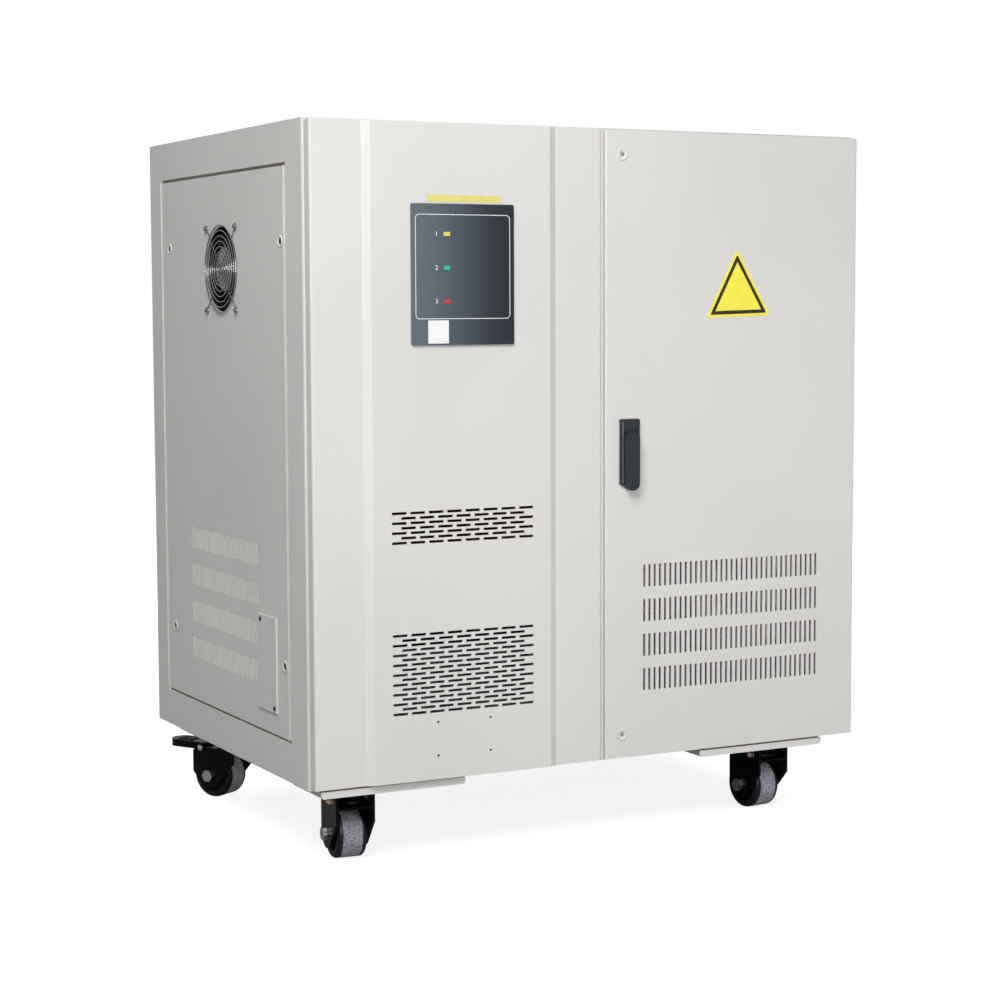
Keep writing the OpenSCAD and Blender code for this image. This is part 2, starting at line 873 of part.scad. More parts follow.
// Two shells with spacer sticks in the air duct and wedged on the limb
module winding(i) {
    stick_w = 10;
    place()
        translate([core_cx + i * limb_pitch, core_cy, coil_z0])
            linear_extrude(coil_h) {
                winding_plan(inner_0, inner_1);
                winding_plan(outer_0, outer_1);
                for (s = [-1, 1], x = [-1, 0, 1])
                    translate([x * limb_w / 3, s * (stack_d / 2 + inner_1 + duct_w / 2)])
                        square([stick_w, duct_w + 1], center = true);
                for (s = [-1, 1], y = [-1, 0, 1])
                    translate([s * (limb_w / 2 + inner_1 + duct_w / 2), y * stack_d / 3])
                        square([duct_w + 1, stick_w], center = true);
                for (s = [-1, 1]) {
                    translate([s * (limb_w + limb_clear + 1) / 2, 0])
                        square([limb_clear + 1, stick_w], center = true);
                    translate([0, s * (stack_d + limb_clear + 1) / 2])
                        square([stick_w, limb_clear + 1], center = true);
                }
            }
}

module left_winding() {
    color(varnish) winding(-1);
}

module centre_winding() {
    color(varnish) winding(0);
}

module right_winding() {
    color(varnish) winding(1);
}

// Four angles that clamp the yokes, front and back
module core_clamps() {
    color(zinc) place()
        for (side = [0, 1])
            translate([core_cx, core_cy, 0]) mirror([0, side, 0])
                translate([-clamp_l / 2, stack_d / 2, 0]) {
                    translate([0, 0, core_z0]) {
                        cube([clamp_l, clamp_t, clamp_h]);
                        cube([clamp_l, clamp_flange, clamp_t]);
                    }
                    translate([0, 0, core_z1 - clamp_h]) {
                        cube([clamp_l, clamp_t, clamp_h]);
                        translate([0, 0, clamp_h - clamp_t])
                            cube([clamp_l, clamp_flange, clamp_t]);
                    }
                }
}

// Two channels on the floor that carry the core
module core_rails() {
    rail_over = 20;
    rail_l = stack_d + 2 * (clamp_flange + rail_over);
    rail_t = 5;
    color(zinc) place()
        for (s = [-1, 1])
            translate([core_cx + s * rail_pitch / 2, core_cy - rail_l / 2, sheet_t])
                upright(0, rail_l)
                    translate([-rail_w / 2, 0])
                        difference() {
                            square([rail_w, rail_h]);
                            translate([rail_t, rail_t])
                                square([rail_w, rail_h - 2 * rail_t]);
                        }
}

// Board on two posts in front of the upper clamp
module terminal_board() {
    post_w = 30;
    post_foot = 5;
    post_head = 15;
    post_h = clamp_h - clamp_t - post_foot - post_head;
    post_z0 = core_z1 - clamp_h + post_foot;
    color(insulation) place()
        translate([core_cx, 0, 0]) {
            translate([-board_w / 2, board_y0, board_z0])
                cube([board_w, board_t, board_h]);
            for (s = [-1, 1])
                translate([s * (board_w / 2 - post_w) - post_w / 2, board_y1, post_z0])
                    cube([post_w, board_post_l, post_h]);
        }
}

// Studs with a hexagon nut on the front of the board
module terminal_studs() {
    nut_t = 8;
    color([0.72, 0.56, 0.24]) place()
        for (i = [0 : stud_count - 1])
            translate([core_cx + (i - (stud_count - 1) / 2) * stud_pitch, board_y0, board_z0 + board_h / 2])
                rotate([90, 0, 0]) {
                    cylinder(h = stud_l, r = stud_r);
                    cylinder(h = nut_t, r = 1.8 * stud_r, $fn = 6);
                }
}

// Arms from the right front flange, each with an upright pin
module door_hinge_brackets() {
    arm_w = 6;
    color(zinc) place()
        for (z = hinge_z)
            translate([0, 0, z - move_gap]) {
                translate([hinge_arm_x, hinge_y - hinge_tab_r, -hinge_t])
                    cube([hinge_x - hinge_arm_x, 2 * hinge_tab_r, hinge_t]);
                translate([hinge_x, hinge_y, -hinge_t])
                    cylinder(h = hinge_t, r = hinge_tab_r);
                translate([hinge_arm_x, hinge_y - hinge_tab_r, -knuckle_l - hinge_t])
                    cube([arm_w, body_y0 - hinge_y + hinge_tab_r, knuckle_l + hinge_t]);
                translate([hinge_x, hinge_y, -eps])
                    cylinder(h = knuckle_l + move_gap, r = hinge_pin_r);
            }
}

module door_openings() {
    translate([door_x0 + door_slot_x, pan_z0 + door_band_z])
        slot_bands(door_slots, door_slot_pitch, door_slot_w, door_slot_h, door_bands, door_band_pitch);
    translate([lock_mid, pivot_z]) circle(boss_r + move_gap);
}

// Slotted front sheet with folded edges, notched where the hinges pass
module door_panel() {
    notch_h = 2 * knuckle_l + hinge_t + 2 * hinge_notch;
    color(coat) place()
        difference() {
            upright(0, door_d)
                translate([door_x0, pan_z0]) square([door_w, pan_h]);
            upright(sheet_t, door_d)
                translate([door_x0 + sheet_t, pan_z0 + sheet_t])
                    square([door_w - 2 * sheet_t, pan_h - 2 * sheet_t]);
            upright(-1, door_d) door_openings();
            for (z = hinge_z)
                translate([door_x1 - 2 * sheet_t, sheet_t, z - knuckle_l - hinge_t - hinge_notch])
                    cube([4 * sheet_t, door_d, notch_h]);
            fold_cuts(door_x0, door_x1, 0);
        }
}

// Barrels on the back of the door's sheet that turn on the hinge pins
module door_hinge_knuckles() {
    color(zinc) place()
        for (z = hinge_z)
            translate([hinge_x, hinge_y, z])
                difference() {
                    union() {
                        cylinder(h = knuckle_l, r = knuckle_r);
                        translate([-2 * knuckle_r, sheet_t - hinge_y, 0])
                            cube([2 * knuckle_r, knuckle_r, knuckle_l]);
                    }
                    translate([0, 0, -1])
                        cylinder(h = knuckle_l + 2, r = hinge_pin_r + run_clear);
                }
}

// Tray-shaped base with a round boss through the door
module lock_base() {
    color(black) place() {
        difference() {
            translate([lock_mid, 0, lock_z0 + lock_h / 2])
                upright(-lock_t, lock_t)
                    round_rect(lock_w, lock_h, 1.5);
            translate([lock_mid - lock_w / 2 + lock_rim, -lock_t - 1, lock_z0 - 1])
                cube([lock_w - 2 * lock_rim, lock_tray + 1, lever_l - lever_drop + lock_rim + 1]);
            translate([lock_mid, 1, pivot_z]) rotate([90, 0, 0])
                cylinder(h = lock_t + 2, r = spindle_r + run_clear);
        }
        translate([lock_mid, boss_l, pivot_z]) rotate([90, 0, 0])
            difference() {
                cylinder(h = boss_l, r = boss_r);
                translate([0, 0, -1])
                    cylinder(h = boss_l + 2, r = spindle_r + run_clear);
            }
    }
}

// Round spindle with the lever's lug and pin in front and the latch tongue behind
module lock_spindle() {
    lug_y0 = -lock_t + lock_tray;
    pin_l = 2 * sqrt(pow(lever_w / 2, 2) - pow(lever_w / 2 - lever_t / 2, 2));
    color(black) place() {
        translate([lock_mid, tongue_y, pivot_z]) rotate([90, 0, 0])
            cylinder(h = tongue_y - lug_y0, r = spindle_r);
        translate([lock_mid - lug_w / 2, pivot_y, pivot_z - lug_r])
            cube([lug_w, lug_y0 - pivot_y + eps, 2 * lug_r]);
        translate([lock_mid - lug_w / 2, pivot_y, pivot_z]) rotate([0, 90, 0])
            cylinder(h = lug_w, r = lug_r);
        translate([lock_mid - pin_l / 2, pivot_y, pivot_z]) rotate([0, 90, 0])
            cylinder(h = pin_l, r = lever_pin_r);
        translate([lock_mid - tongue_w / 2, tongue_y, pivot_z - tongue_l])
            cube([tongue_w, lock_nut_t, tongue_l + spindle_r]);
    }
}

// Outline of the lever: a bar with two round ends
module lever_outline() {
    end_r = lever_w / 2;
    translate([lock_mid - end_r, lever_foot + end_r])
        square([lever_w, lever_l - lever_w]);
    for (z = [lever_foot + end_r, lever_head - end_r])
        translate([lock_mid, z]) circle(end_r);
}

// Lever with a round back at its pivot and a slot for the lug
module lever_side() {
    translate([lever_front_y, lever_foot - 1])
        square([lever_t, pivot_z - lever_foot + 1]);
    translate([pivot_y, pivot_z]) circle(lever_t / 2);
}

module lock_lever() {
    slot_r = lug_r + 0.4;
    slot_half = lug_w / 2 + 0.3;
    color(black) place()
        difference() {
            intersection() {
                upright(lever_front_y - 1, lever_t + 2) lever_outline();
                sideways(lock_mid - lever_w, 2 * lever_w) lever_side();
            }
            translate([lock_mid - slot_half, pivot_y - slot_r, pivot_z - slot_r - 1])
                cube([2 * slot_half, lever_t, lever_t + slot_r]);
            translate([lock_mid - lever_w, pivot_y, pivot_z]) rotate([0, 90, 0])
                cylinder(h = 2 * lever_w, r = lever_pin_r + run_clear);
        }
}

// Point where a line from p touches a circle of radius r about c, on the left (side 1) or right (side -1)
function touch(p, c, r, side) =
    let (d = c - p, turn = side * (90 - asin(r / norm(d))), heading = atan2(-d[1], -d[0]) - turn)
    c + r * [cos(heading), sin(heading)];

// Side of the fork up to a given height: round about the axle, its back edge a given way behind it
module fork_side(back, top) {
    knee_drop = 16;
    heel_rise = 4;
    corner = 6;
    hub = [caster_trail, wheel_r];
    knee = [-crown_back, crown_z0 - knee_drop];
    heel = hub + [back, heel_rise];
    polygon([
        [-crown_back, top],
        knee,
        touch(knee, hub, fork_end_r, -1),
        hub,
        touch(heel, hub, fork_end_r, 1),
        heel,
        [heel[0], top - corner],
        [heel[0] - corner, top]
    ]);
    translate(hub) circle(fork_end_r);
}

// Bearing ring with a round outer edge
module race() {
    edge_r = race_h / 2;
    rotate_extrude() {
        square([race_r - edge_r, race_h]);
        translate([race_r - edge_r, edge_r]) circle(edge_r);
    }
}

// Two side plates at a crown with the lower bearing ring; with no brake the plates rise round the rings
module fork(i, braked) {
    color(black) at_caster(i)
        difference() {
            union() {
                for (v = [-fork_out, fork_in])
                    upright(v, fork_t) {
                        fork_side(fork_back + (braked ? brake_reach : 0), braked ? crown_z1 : shoulder_z);
                        if (braked)
                            translate([pedal_pivot_u, pedal_pivot_z]) circle(pedal_ear_r);
                    }
                translate([-crown_back, -fork_out, crown_z0])
                    cube([crown_back + race_r + 1, 2 * fork_out, fork_t]);
                translate([0, 0, crown_z1]) race();
            }
            translate([0, 0, crown_z0 - 1])
                cylinder(h = caster_h, r = kingpin_r + run_clear);
            translate([caster_trail, fork_out + 1, wheel_r]) rotate([90, 0, 0])
                cylinder(h = 2 * fork_out + 2, r = axle_r + run_clear);
            if (braked)
                translate([pedal_pivot_u, fork_out + 1, pedal_pivot_z]) rotate([90, 0, 0])
                    cylinder(h = 2 * fork_out + 2, r = pedal_pin_r + run_clear);
        }
}

module front_left_fork() {
    fork(0, false);
}

module front_right_fork() {
    fork(1, false);
}

module rear_left_fork() {
    fork(2, true);
}

module rear_right_fork() {
    fork(3, true);
}

// Bolt through the fork with a hexagon at each end
module axle(i) {
    color(zinc) at_caster(i)
        translate([caster_trail, 0, wheel_r]) rotate([90, 0, 0]) {
            cylinder(h = 2 * (fork_out + axle_head_t), r = axle_r, center = true);
            for (s = [-1, 1])
                translate([0, 0, s * (fork_out + axle_head_t / 2)])
                    cylinder(h = axle_head_t, r = axle_hex / sqrt(3), center = true, $fn = 6);
        }
}

module front_left_axle() {
    axle(0);
}

module front_right_axle() {
    axle(1);
}

module rear_left_axle() {
    axle(2);
}

module rear_right_axle() {
    axle(3);
}

// Half section of a wheel: a hub, a web and a round-shouldered tread
module wheel_section() {
    bore_r = axle_r + run_clear;
    hub_r = 10;
    hub_half = fork_in - move_gap;
    web_half = 9;
    tread_in = wheel_r - wheel_shoulder - 3;
    half = wheel_w / 2;
    translate([bore_r, -hub_half]) square([hub_r - bore_r, 2 * hub_half]);
    translate([bore_r, -web_half]) square([tread_in - bore_r + 1, 2 * web_half]);
    translate([tread_in, -half]) square([wheel_r - wheel_shoulder - tread_in, wheel_w]);
    translate([tread_in, wheel_shoulder - half]) square([wheel_r - tread_in, wheel_w - 2 * wheel_shoulder]);
    for (s = [-1, 1])
        translate([wheel_r - wheel_shoulder, s * (half - wheel_shoulder)]) circle(wheel_shoulder);
}

module wheel(i) {
    color(rubber) at_caster(i)
        translate([caster_trail, 0, wheel_r]) rotate([90, 0, 0])
            rotate_extrude() wheel_section();
}

module front_left_wheel() {
    wheel(0);
}

module front_right_wheel() {
    wheel(1);
}

module rear_left_wheel() {
    wheel(2);
}

module rear_right_wheel() {
    wheel(3);
}

// Plan of a brake pedal's round-ended tongue, grown inwards by a wall
module pedal_plan(wall) {
    end_u = pedal_l - pedal_w / 2;
    translate([0, wall - pedal_w / 2]) square([end_u, pedal_w - 2 * wall]);
    translate([end_u, 0]) circle(pedal_w / 2 - wall);
}

// Brake pedal: a barrel between the fork's plates, its riveted pin and a skirted tongue with ribs
module pedal(i) {
    barrel_l = 2 * (fork_in - move_gap);
    pin_l = 2 * (fork_out + pedal_head_t);
    head_l = pedal_head_t - move_gap;
    rib_w = 2.5;
    rib_h = 1.2;
    rib_pitch = 7;
    top_z = pedal_h / 2;
    color(black) at_caster(i)
        translate([pedal_pivot_u, 0, pedal_pivot_z]) {
            rotate([90, 0, 0]) cylinder(h = barrel_l, r = pedal_barrel_r, center = true);
            rotate([90, 0, 0]) cylinder(h = pin_l, r = pedal_pin_r, center = true);
            for (s = [-1, 1])
                translate([0, s * (fork_out + pedal_head_t - head_l / 2), 0]) rotate([90, 0, 0])
                    cylinder(h = head_l, r = pedal_head_r, center = true);
            translate([0, 0, -top_z])
                difference() {
                    linear_extrude(pedal_h) pedal_plan(0);
                    translate([0, 0, -1]) linear_extrude(pedal_h - pedal_t + 1) pedal_plan(pedal_t);
                }
            for (k = [0 : pedal_ribs - 1])
                translate([pedal_l - pedal_w / 2 - k * rib_pitch, 0, top_z + rib_h / 2 - eps])
                    cube([rib_w, pedal_w - 4 * pedal_t, rib_h], center = true);
        }
}

module rear_left_pedal() {
    pedal(2);
}

module rear_right_pedal() {
    pedal(3);
}

base_tray();
caster_pads();
caster_top_plates();
left_side_frame();
right_side_frame();
left_side_panel();
right_side_panel();
back_panel();
top_cover();
centre_post();
front_cover();
display_panel();
indicator_lamps();
cable_cover_plate();
fan_housing();
fan_guard();
fan_rotor();
core();
left_winding();
centre_winding();
right_winding();
core_clamps();
core_rails();
terminal_board();
terminal_studs();
door_hinge_brackets();
door_panel();
door_hinge_knuckles();
lock_base();
lock_spindle();
lock_lever();
front_left_fork();
front_right_fork();
rear_left_fork();
rear_right_fork();
front_left_axle();
front_right_axle();
rear_left_axle();
rear_right_axle();
front_left_wheel();
front_right_wheel();
rear_left_wheel();
rear_right_wheel();
rear_left_pedal();
rear_right_pedal();
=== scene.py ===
# %% [markdown]
# A dry transformer in a sheet-steel cabinet on four casters.
# The solid pieces come ready made in the frame: cabinet sheets, door, lock, fan, core and casters.
# This lesson gives each of them its finish and adds the small pieces that solids leave out,
# such as screw heads, bolts, the printed display film and the turns of the windings.

# %% Load the frame
import json
import math

import bmesh
import bpy
from mathutils import Matrix, Vector


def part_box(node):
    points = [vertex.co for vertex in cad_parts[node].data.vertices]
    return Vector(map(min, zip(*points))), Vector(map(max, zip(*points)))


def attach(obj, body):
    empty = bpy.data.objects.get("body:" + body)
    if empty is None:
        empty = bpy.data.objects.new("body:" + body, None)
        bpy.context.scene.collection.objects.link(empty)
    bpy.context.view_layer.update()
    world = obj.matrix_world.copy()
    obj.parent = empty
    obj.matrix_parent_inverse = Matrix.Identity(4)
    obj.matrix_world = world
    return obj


MM = 0.001
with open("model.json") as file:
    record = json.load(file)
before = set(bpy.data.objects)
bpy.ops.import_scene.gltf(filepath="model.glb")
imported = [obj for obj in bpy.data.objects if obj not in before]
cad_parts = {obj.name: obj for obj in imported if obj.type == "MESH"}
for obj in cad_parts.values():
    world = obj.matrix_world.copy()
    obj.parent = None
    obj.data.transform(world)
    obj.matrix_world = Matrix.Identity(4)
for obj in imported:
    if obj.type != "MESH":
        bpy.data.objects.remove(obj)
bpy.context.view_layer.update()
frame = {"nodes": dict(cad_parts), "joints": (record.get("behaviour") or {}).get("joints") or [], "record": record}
nodes = frame["nodes"]
joint_of = {joint["name"]: joint for joint in frame["joints"]}

# %% [markdown]
# The camera stands where the photographer stood: in front, to the left and a little below the roof.
# Its place is measured from the left front corner of the cabinet's floor, and its place and turn are
# worked out from the cabinet's edges, so no shift or cropping is needed.

# %% Camera
IMAGE_SIDE = 1000
FOCAL_PIXELS = 2243.03
SENSOR = 36.0
CAMERA_FROM_CORNER = Vector((-1.00588, -2.44285, 0.5768))
CAMERA_YAW, CAMERA_PITCH, CAMERA_ROLL = (math.radians(a) for a in (27.358, 4.973, -0.2207))


def make_camera():
    data = bpy.data.cameras.new("camera")
    data.sensor_width = SENSOR
    data.lens = FOCAL_PIXELS / IMAGE_SIDE * SENSOR
    camera = bpy.data.objects.new("camera", data)
    bpy.context.scene.collection.objects.link(camera)
    level = Vector((math.sin(CAMERA_YAW), math.cos(CAMERA_YAW), 0))
    forward = level * math.cos(CAMERA_PITCH) - Vector((0, 0, math.sin(CAMERA_PITCH)))
    right = Vector((math.cos(CAMERA_YAW), -math.sin(CAMERA_YAW), 0))
    up = right.cross(forward)
    rolled_right = right * math.cos(CAMERA_ROLL) + up * math.sin(CAMERA_ROLL)
    rolled_up = up * math.cos(CAMERA_ROLL) - right * math.sin(CAMERA_ROLL)
    turn = Matrix((rolled_right, rolled_up, -forward)).transposed()
    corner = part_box("base_tray")[0]
    camera.matrix_world = Matrix.Translation(corner + CAMERA_FROM_CORNER) @ turn.to_4x4()
    bpy.context.scene.camera = camera
    return camera


camera = make_camera()
print("camera: lens %.1f mm" % camera.data.lens)

# %% [markdown]
# A material is a small graph of nodes. These helpers add one node at a time and join it,
# so that each finish below reads as a short recipe. Every pattern is placed by Object coordinates,
# in metres, so its grain has a true size and stays on the piece when the piece moves.

# %% Material helpers
def finish(name, colour, roughness, metallic=0.0, specular=0.5, coat=0.0):
    material = bpy.data.materials.new(name)
    material.use_nodes = True
    shader = material.node_tree.nodes["Principled BSDF"]
    shader.inputs["Base Color"].default_value = (*colour, 1)
    shader.inputs["Roughness"].default_value = roughness
    shader.inputs["Metallic"].default_value = metallic
    shader.inputs["Specular IOR Level"].default_value = specular
    shader.inputs["Coat Weight"].default_value = coat
    shader.inputs["Coat Roughness"].default_value = 0.1
    return material


def shader_of(material):
    return material.node_tree.nodes["Principled BSDF"]


def add(material, kind, **settings):
    node = material.node_tree.nodes.new(kind)
    for key, value in settings.items():
        setattr(node, key, value)
    return node


def join(material, output, target):
    material.node_tree.links.new(output, target)


def place(material, centre=(0, 0, 0), turn=(0, 0, 0)):
    coordinate = add(material, "ShaderNodeTexCoord")
    mapping = add(material, "ShaderNodeMapping", vector_type="TEXTURE")
    mapping.inputs["Location"].default_value = centre
    mapping.inputs["Rotation"].default_value = turn
    join(material, coordinate.outputs["Object"], mapping.inputs["Vector"])
    return mapping.outputs["Vector"]


def noise(material, vector, size, detail=3.0, roughness=0.5):
    node = add(material, "ShaderNodeTexNoise")
    node.inputs["Scale"].default_value = 1 / size
    node.inputs["Detail"].default_value = detail
    node.inputs["Roughness"].default_value = roughness
    join(material, vector, node.inputs["Vector"])
    return node.outputs["Fac"]


def stripes(material, vector, axis, pitch):
    node = add(material, "ShaderNodeTexWave", wave_type="BANDS", bands_direction=axis)
    node.inputs["Scale"].default_value = math.pi / (10 * pitch)
    node.inputs["Distortion"].default_value = 0
    join(material, vector, node.inputs["Vector"])
    return node.outputs["Fac"]


def spread(material, value, low, high, to_low=0.0, to_high=1.0):
    node = add(material, "ShaderNodeMapRange", interpolation_type="SMOOTHSTEP")
    for name, number in zip(("From Min", "From Max", "To Min", "To Max"), (low, high, to_low, to_high)):
        node.inputs[name].default_value = number
    join(material, value, node.inputs["Value"])
    return node.outputs["Result"]


def arithmetic(material, operation, first, second):
    node = add(material, "ShaderNodeMath", operation=operation)
    for socket, value in zip(node.inputs, (first, second)):
        if isinstance(value, (int, float)):
            socket.default_value = value
        else:
            join(material, value, socket)
    return node.outputs["Value"]


def blend_colours(material, factor, first, second):
    node = add(material, "ShaderNodeMix", data_type="RGBA")
    join(material, factor, node.inputs["Factor"])
    for socket, value in zip((node.inputs[6], node.inputs[7]), (first, second)):
        if isinstance(value, tuple):
            socket.default_value = (*value, 1)
        else:
            join(material, value, socket)
    return node.outputs[2]


def paint(material, socket, output):
    join(material, output, shader_of(material).inputs[socket])


def emboss(material, height, depth, strength=1.0):
    node = add(material, "ShaderNodeBump")
    node.inputs["Distance"].default_value = depth
    node.inputs["Strength"].default_value = strength
    join(material, height, node.inputs["Height"])
    paint(material, "Normal", node.outputs["Normal"])


# %% [markdown]
# The cabinet is powder coated in a warm off-white. Close up such a coat has an orange-peel skin,
# about a millimetre from bump to bump, and its gloss wanders a little. From a distance the colour
# is never quite even, so a very wide noise shifts it by a few parts in a hundred.

# %% Powder coat
COAT = (0.745, 0.73, 0.708)
COAT_DEEP = (0.715, 0.70, 0.68)
PEEL_SIZE = 1.6 * MM
PEEL_DEPTH = 0.10 * MM


def powder_coat():
    material = finish("powder_coat", COAT, 0.5, specular=0.35)
    vector = place(material)
    wide = spread(material, noise(material, vector, 0.35, 2), 0.35, 0.65)
    paint(material, "Base Color", blend_colours(material, wide, COAT, COAT_DEEP))
    paint(material, "Roughness", spread(material, noise(material, vector, 0.02), 0.3, 0.7, 0.48, 0.53))
    emboss(material, noise(material, vector, PEEL_SIZE, 2), PEEL_DEPTH, 0.35)
    return material


coat = powder_coat()
print("powder coat:", len(coat.node_tree.nodes), "nodes")

# %% [markdown]
# Metal pieces: bright plated wire, zinc, brass and the stacked sheets of the core.
# Metals have no colour of their own under the gloss, so Metallic is 1 and the base colour tints
# the reflection. Fine noise in the roughness keeps the gloss from looking like a mirror.

# %% Metals
SHEET_PITCH = 2.2 * MM
SHEET_GROOVE = 0.15 * MM


def metal(name, colour, rough_low, rough_high, grain):
    material = finish(name, colour, rough_low, metallic=1.0)
    vector = place(material)
    paint(material, "Roughness", spread(material, noise(material, vector, grain), 0.3, 0.7, rough_low, rough_high))
    dull = tuple(0.82 * c for c in colour)
    paint(material, "Base Color", blend_colours(material, noise(material, vector, 3 * grain), colour, dull))
    return material


def core_steel():
    material = finish("core_steel", (0.10, 0.105, 0.115), 0.42, metallic=0.7)
    vector = place(material)
    sheets = stripes(material, vector, "Y", SHEET_PITCH)
    patch = noise(material, vector, 0.03)
    tone = arithmetic(material, "MULTIPLY", sheets, patch)
    paint(material, "Base Color", blend_colours(material, tone, (0.07, 0.072, 0.08), (0.19, 0.19, 0.2)))
    paint(material, "Roughness", spread(material, patch, 0.3, 0.7, 0.34, 0.5))
    emboss(material, sheets, SHEET_GROOVE, 0.5)
    return material


chrome = metal("guard_chrome", (0.42, 0.42, 0.43), 0.20, 0.26, 4 * MM)
zinc = metal("zinc_steel", (0.50, 0.52, 0.54), 0.28, 0.42, 5 * MM)
bolt_yellow = metal("yellow_zinc", (1.0, 0.80, 0.66), 0.25, 0.38, 3 * MM)
bright_steel = metal("bright_steel", (0.70, 0.72, 0.72), 0.18, 0.28, 3 * MM)
brass = metal("stud_brass", (0.70, 0.50, 0.18), 0.22, 0.34, 4 * MM)
steel_sheets = core_steel()
print("metals:", [m.name for m in (chrome, zinc, bolt_yellow, bright_steel, brass, steel_sheets)])

# %% [markdown]
# Plastics and varnishes: the printed film of the display, the lamps, the moulded fan,
# the satin lock, the glossy casters, the winding's varnish and the pressed laminate of the board.

# %% Plastics, paints and varnishes
# The film's pale left side is a painted sheen: the light reflected in it is painted into its colour.
FILM_PAINTED_SHEEN = (0.126, 0.156, 0.186)
FILM_DARK = (0.026, 0.031, 0.040)


def speckled(name, colour, rough_low, rough_high, grain, depth, specular=0.5, coat_weight=0.0):
    material = finish(name, colour, rough_low, specular=specular, coat=coat_weight)
    vector = place(material)
    fine = noise(material, vector, grain)
    paint(material, "Roughness", spread(material, fine, 0.3, 0.7, rough_low, rough_high))
    light = tuple(1.25 * c for c in colour)
    paint(material, "Base Color", blend_colours(material, noise(material, vector, 12 * grain), colour, light))
    emboss(material, fine, depth, 0.4)
    return material


def display_film_with_painted_sheen():
    low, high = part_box("display_panel")
    material = finish("display_face", FILM_DARK, 0.3, specular=0.2)
    vector = place(material)
    split = add(material, "ShaderNodeSeparateXYZ")
    join(material, vector, split.inputs["Vector"])
    # Painted sheen: the base colour runs from the pale sheen colour at the left edge to the film's own dark at the
    # right.
    across = spread(material, split.outputs["X"], low.x - 0.01, high.x)
    paint(material, "Base Color", blend_colours(material, across, FILM_PAINTED_SHEEN, FILM_DARK))
    fine = noise(material, vector, 0.8 * MM)
    paint(material, "Roughness", spread(material, fine, 0.3, 0.7, 0.26, 0.36))
    emboss(material, fine, 0.02 * MM, 0.4)
    return material


def lamp_lens():
    low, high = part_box("indicator_lamps")
    material = finish("lamp_lens", (0.8, 0.6, 0.1), 0.25, coat=0.5)
    vector = place(material)
    split = add(material, "ShaderNodeSeparateXYZ")
    join(material, vector, split.inputs["Vector"])
    third = (high.z - low.z) / 3
    red = (0.62, 0.035, 0.06)
    green = (0.03, 0.50, 0.34)
    yellow = (0.78, 0.68, 0.10)
    is_green = arithmetic(material, "GREATER_THAN", split.outputs["Z"], low.z + third)
    is_yellow = arithmetic(material, "GREATER_THAN", split.outputs["Z"], high.z - third)
    lower = blend_colours(material, is_green, red, green)
    paint(material, "Base Color", blend_colours(material, is_yellow, lower, yellow))
    return material


film = display_film_with_painted_sheen()
fan_black = speckled("black_plastic", (0.012, 0.012, 0.013), 0.42, 0.6, 0.8 * MM, 0.05 * MM, 0.15)
lock_black = speckled("lock_black", (0.026, 0.031, 0.037), 0.34, 0.48, 0.6 * MM, 0.05 * MM, 0.25)
caster_black = speckled("caster_black", (0.003, 0.0035, 0.004), 0.16, 0.28, 6 * MM, 0.05 * MM, 0.10)
varnish = speckled("winding_varnish", (0.30, 0.10, 0.035), 0.22, 0.38, 3 * MM, 0.1 * MM, coat_weight=0.4)
laminate = speckled("board_laminate", (0.22, 0.055, 0.03), 0.4, 0.55, 1.5 * MM, 0.06 * MM)
lamps = lamp_lens()
print("plastics:", [m.name for m in (film, fan_black, lock_black, caster_black, varnish, laminate, lamps)])

# %% [markdown]
# A wheel is black at its sides and rubbed grey along the middle of its tread. The tread is found by
# the distance from the axle and from the wheel's middle, measured in the wheel's own turned
# coordinates, and a coarse noise eats into the edge of the grey so that it looks scuffed by the floor.

# %% Wheel rubber
WHEEL_BLACK = (0.012, 0.012, 0.014)
TREAD_GREY = (0.43, 0.42, 0.48)
TREAD_DARK = (0.19, 0.185, 0.22)
TREAD_HALF = 12.5 * MM


def wheel_rubber(corner):
    joint = joint_of[corner + "_roll"]
    low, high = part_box(corner + "_wheel")
    radius = (high.z - low.z) / 2
    axle_turn = math.atan2(joint["axis"][1], joint["axis"][0])
    material = finish("wheel_rubber_" + corner, WHEEL_BLACK, 0.5, specular=0.2)
    vector = place(material, joint["pos_m"], (0, 0, axle_turn))
    split = add(material, "ShaderNodeSeparateXYZ")
    join(material, vector, split.inputs["Vector"])
    across = arithmetic(material, "POWER", split.outputs["Y"], 2.0)
    upward = arithmetic(material, "POWER", split.outputs["Z"], 2.0)
    distance = arithmetic(material, "SQRT", arithmetic(material, "ADD", across, upward), 0.0)
    ragged = arithmetic(material, "MULTIPLY", noise(material, vector, 9 * MM, 4, 0.65), 5 * MM)
    aside = arithmetic(material, "ADD", arithmetic(material, "ABSOLUTE", split.outputs["X"], 0.0), ragged)
    inside = spread(material, aside, TREAD_HALF + 1.5 * MM, TREAD_HALF + 3.5 * MM, 1.0, 0.0)
    outside = spread(material, distance, radius - 4 * MM, radius - 2 * MM)
    rubbed = arithmetic(material, "MULTIPLY", inside, outside)
    mottled = spread(material, noise(material, vector, 3 * MM, 4, 0.7), 0.35, 0.65)
    grey = blend_colours(material, mottled, TREAD_DARK, TREAD_GREY)
    paint(material, "Base Color", blend_colours(material, rubbed, WHEEL_BLACK, grey))
    paint(material, "Roughness", spread(material, rubbed, 0.0, 1.0, 0.32, 0.75))
    emboss(material, noise(material, vector, 2.5 * MM, 4, 0.65), 0.5 * MM, 0.5)
    return material


CORNERS = ("front_left", "front_right", "rear_left", "rear_right")
print("wheels:", [wheel_rubber(corner).name for corner in CORNERS])

# %% [markdown]
# Every solid now takes its finish. The frame's record already says which material slot each
# node belongs to, so one dictionary from slot to finish dresses them all.

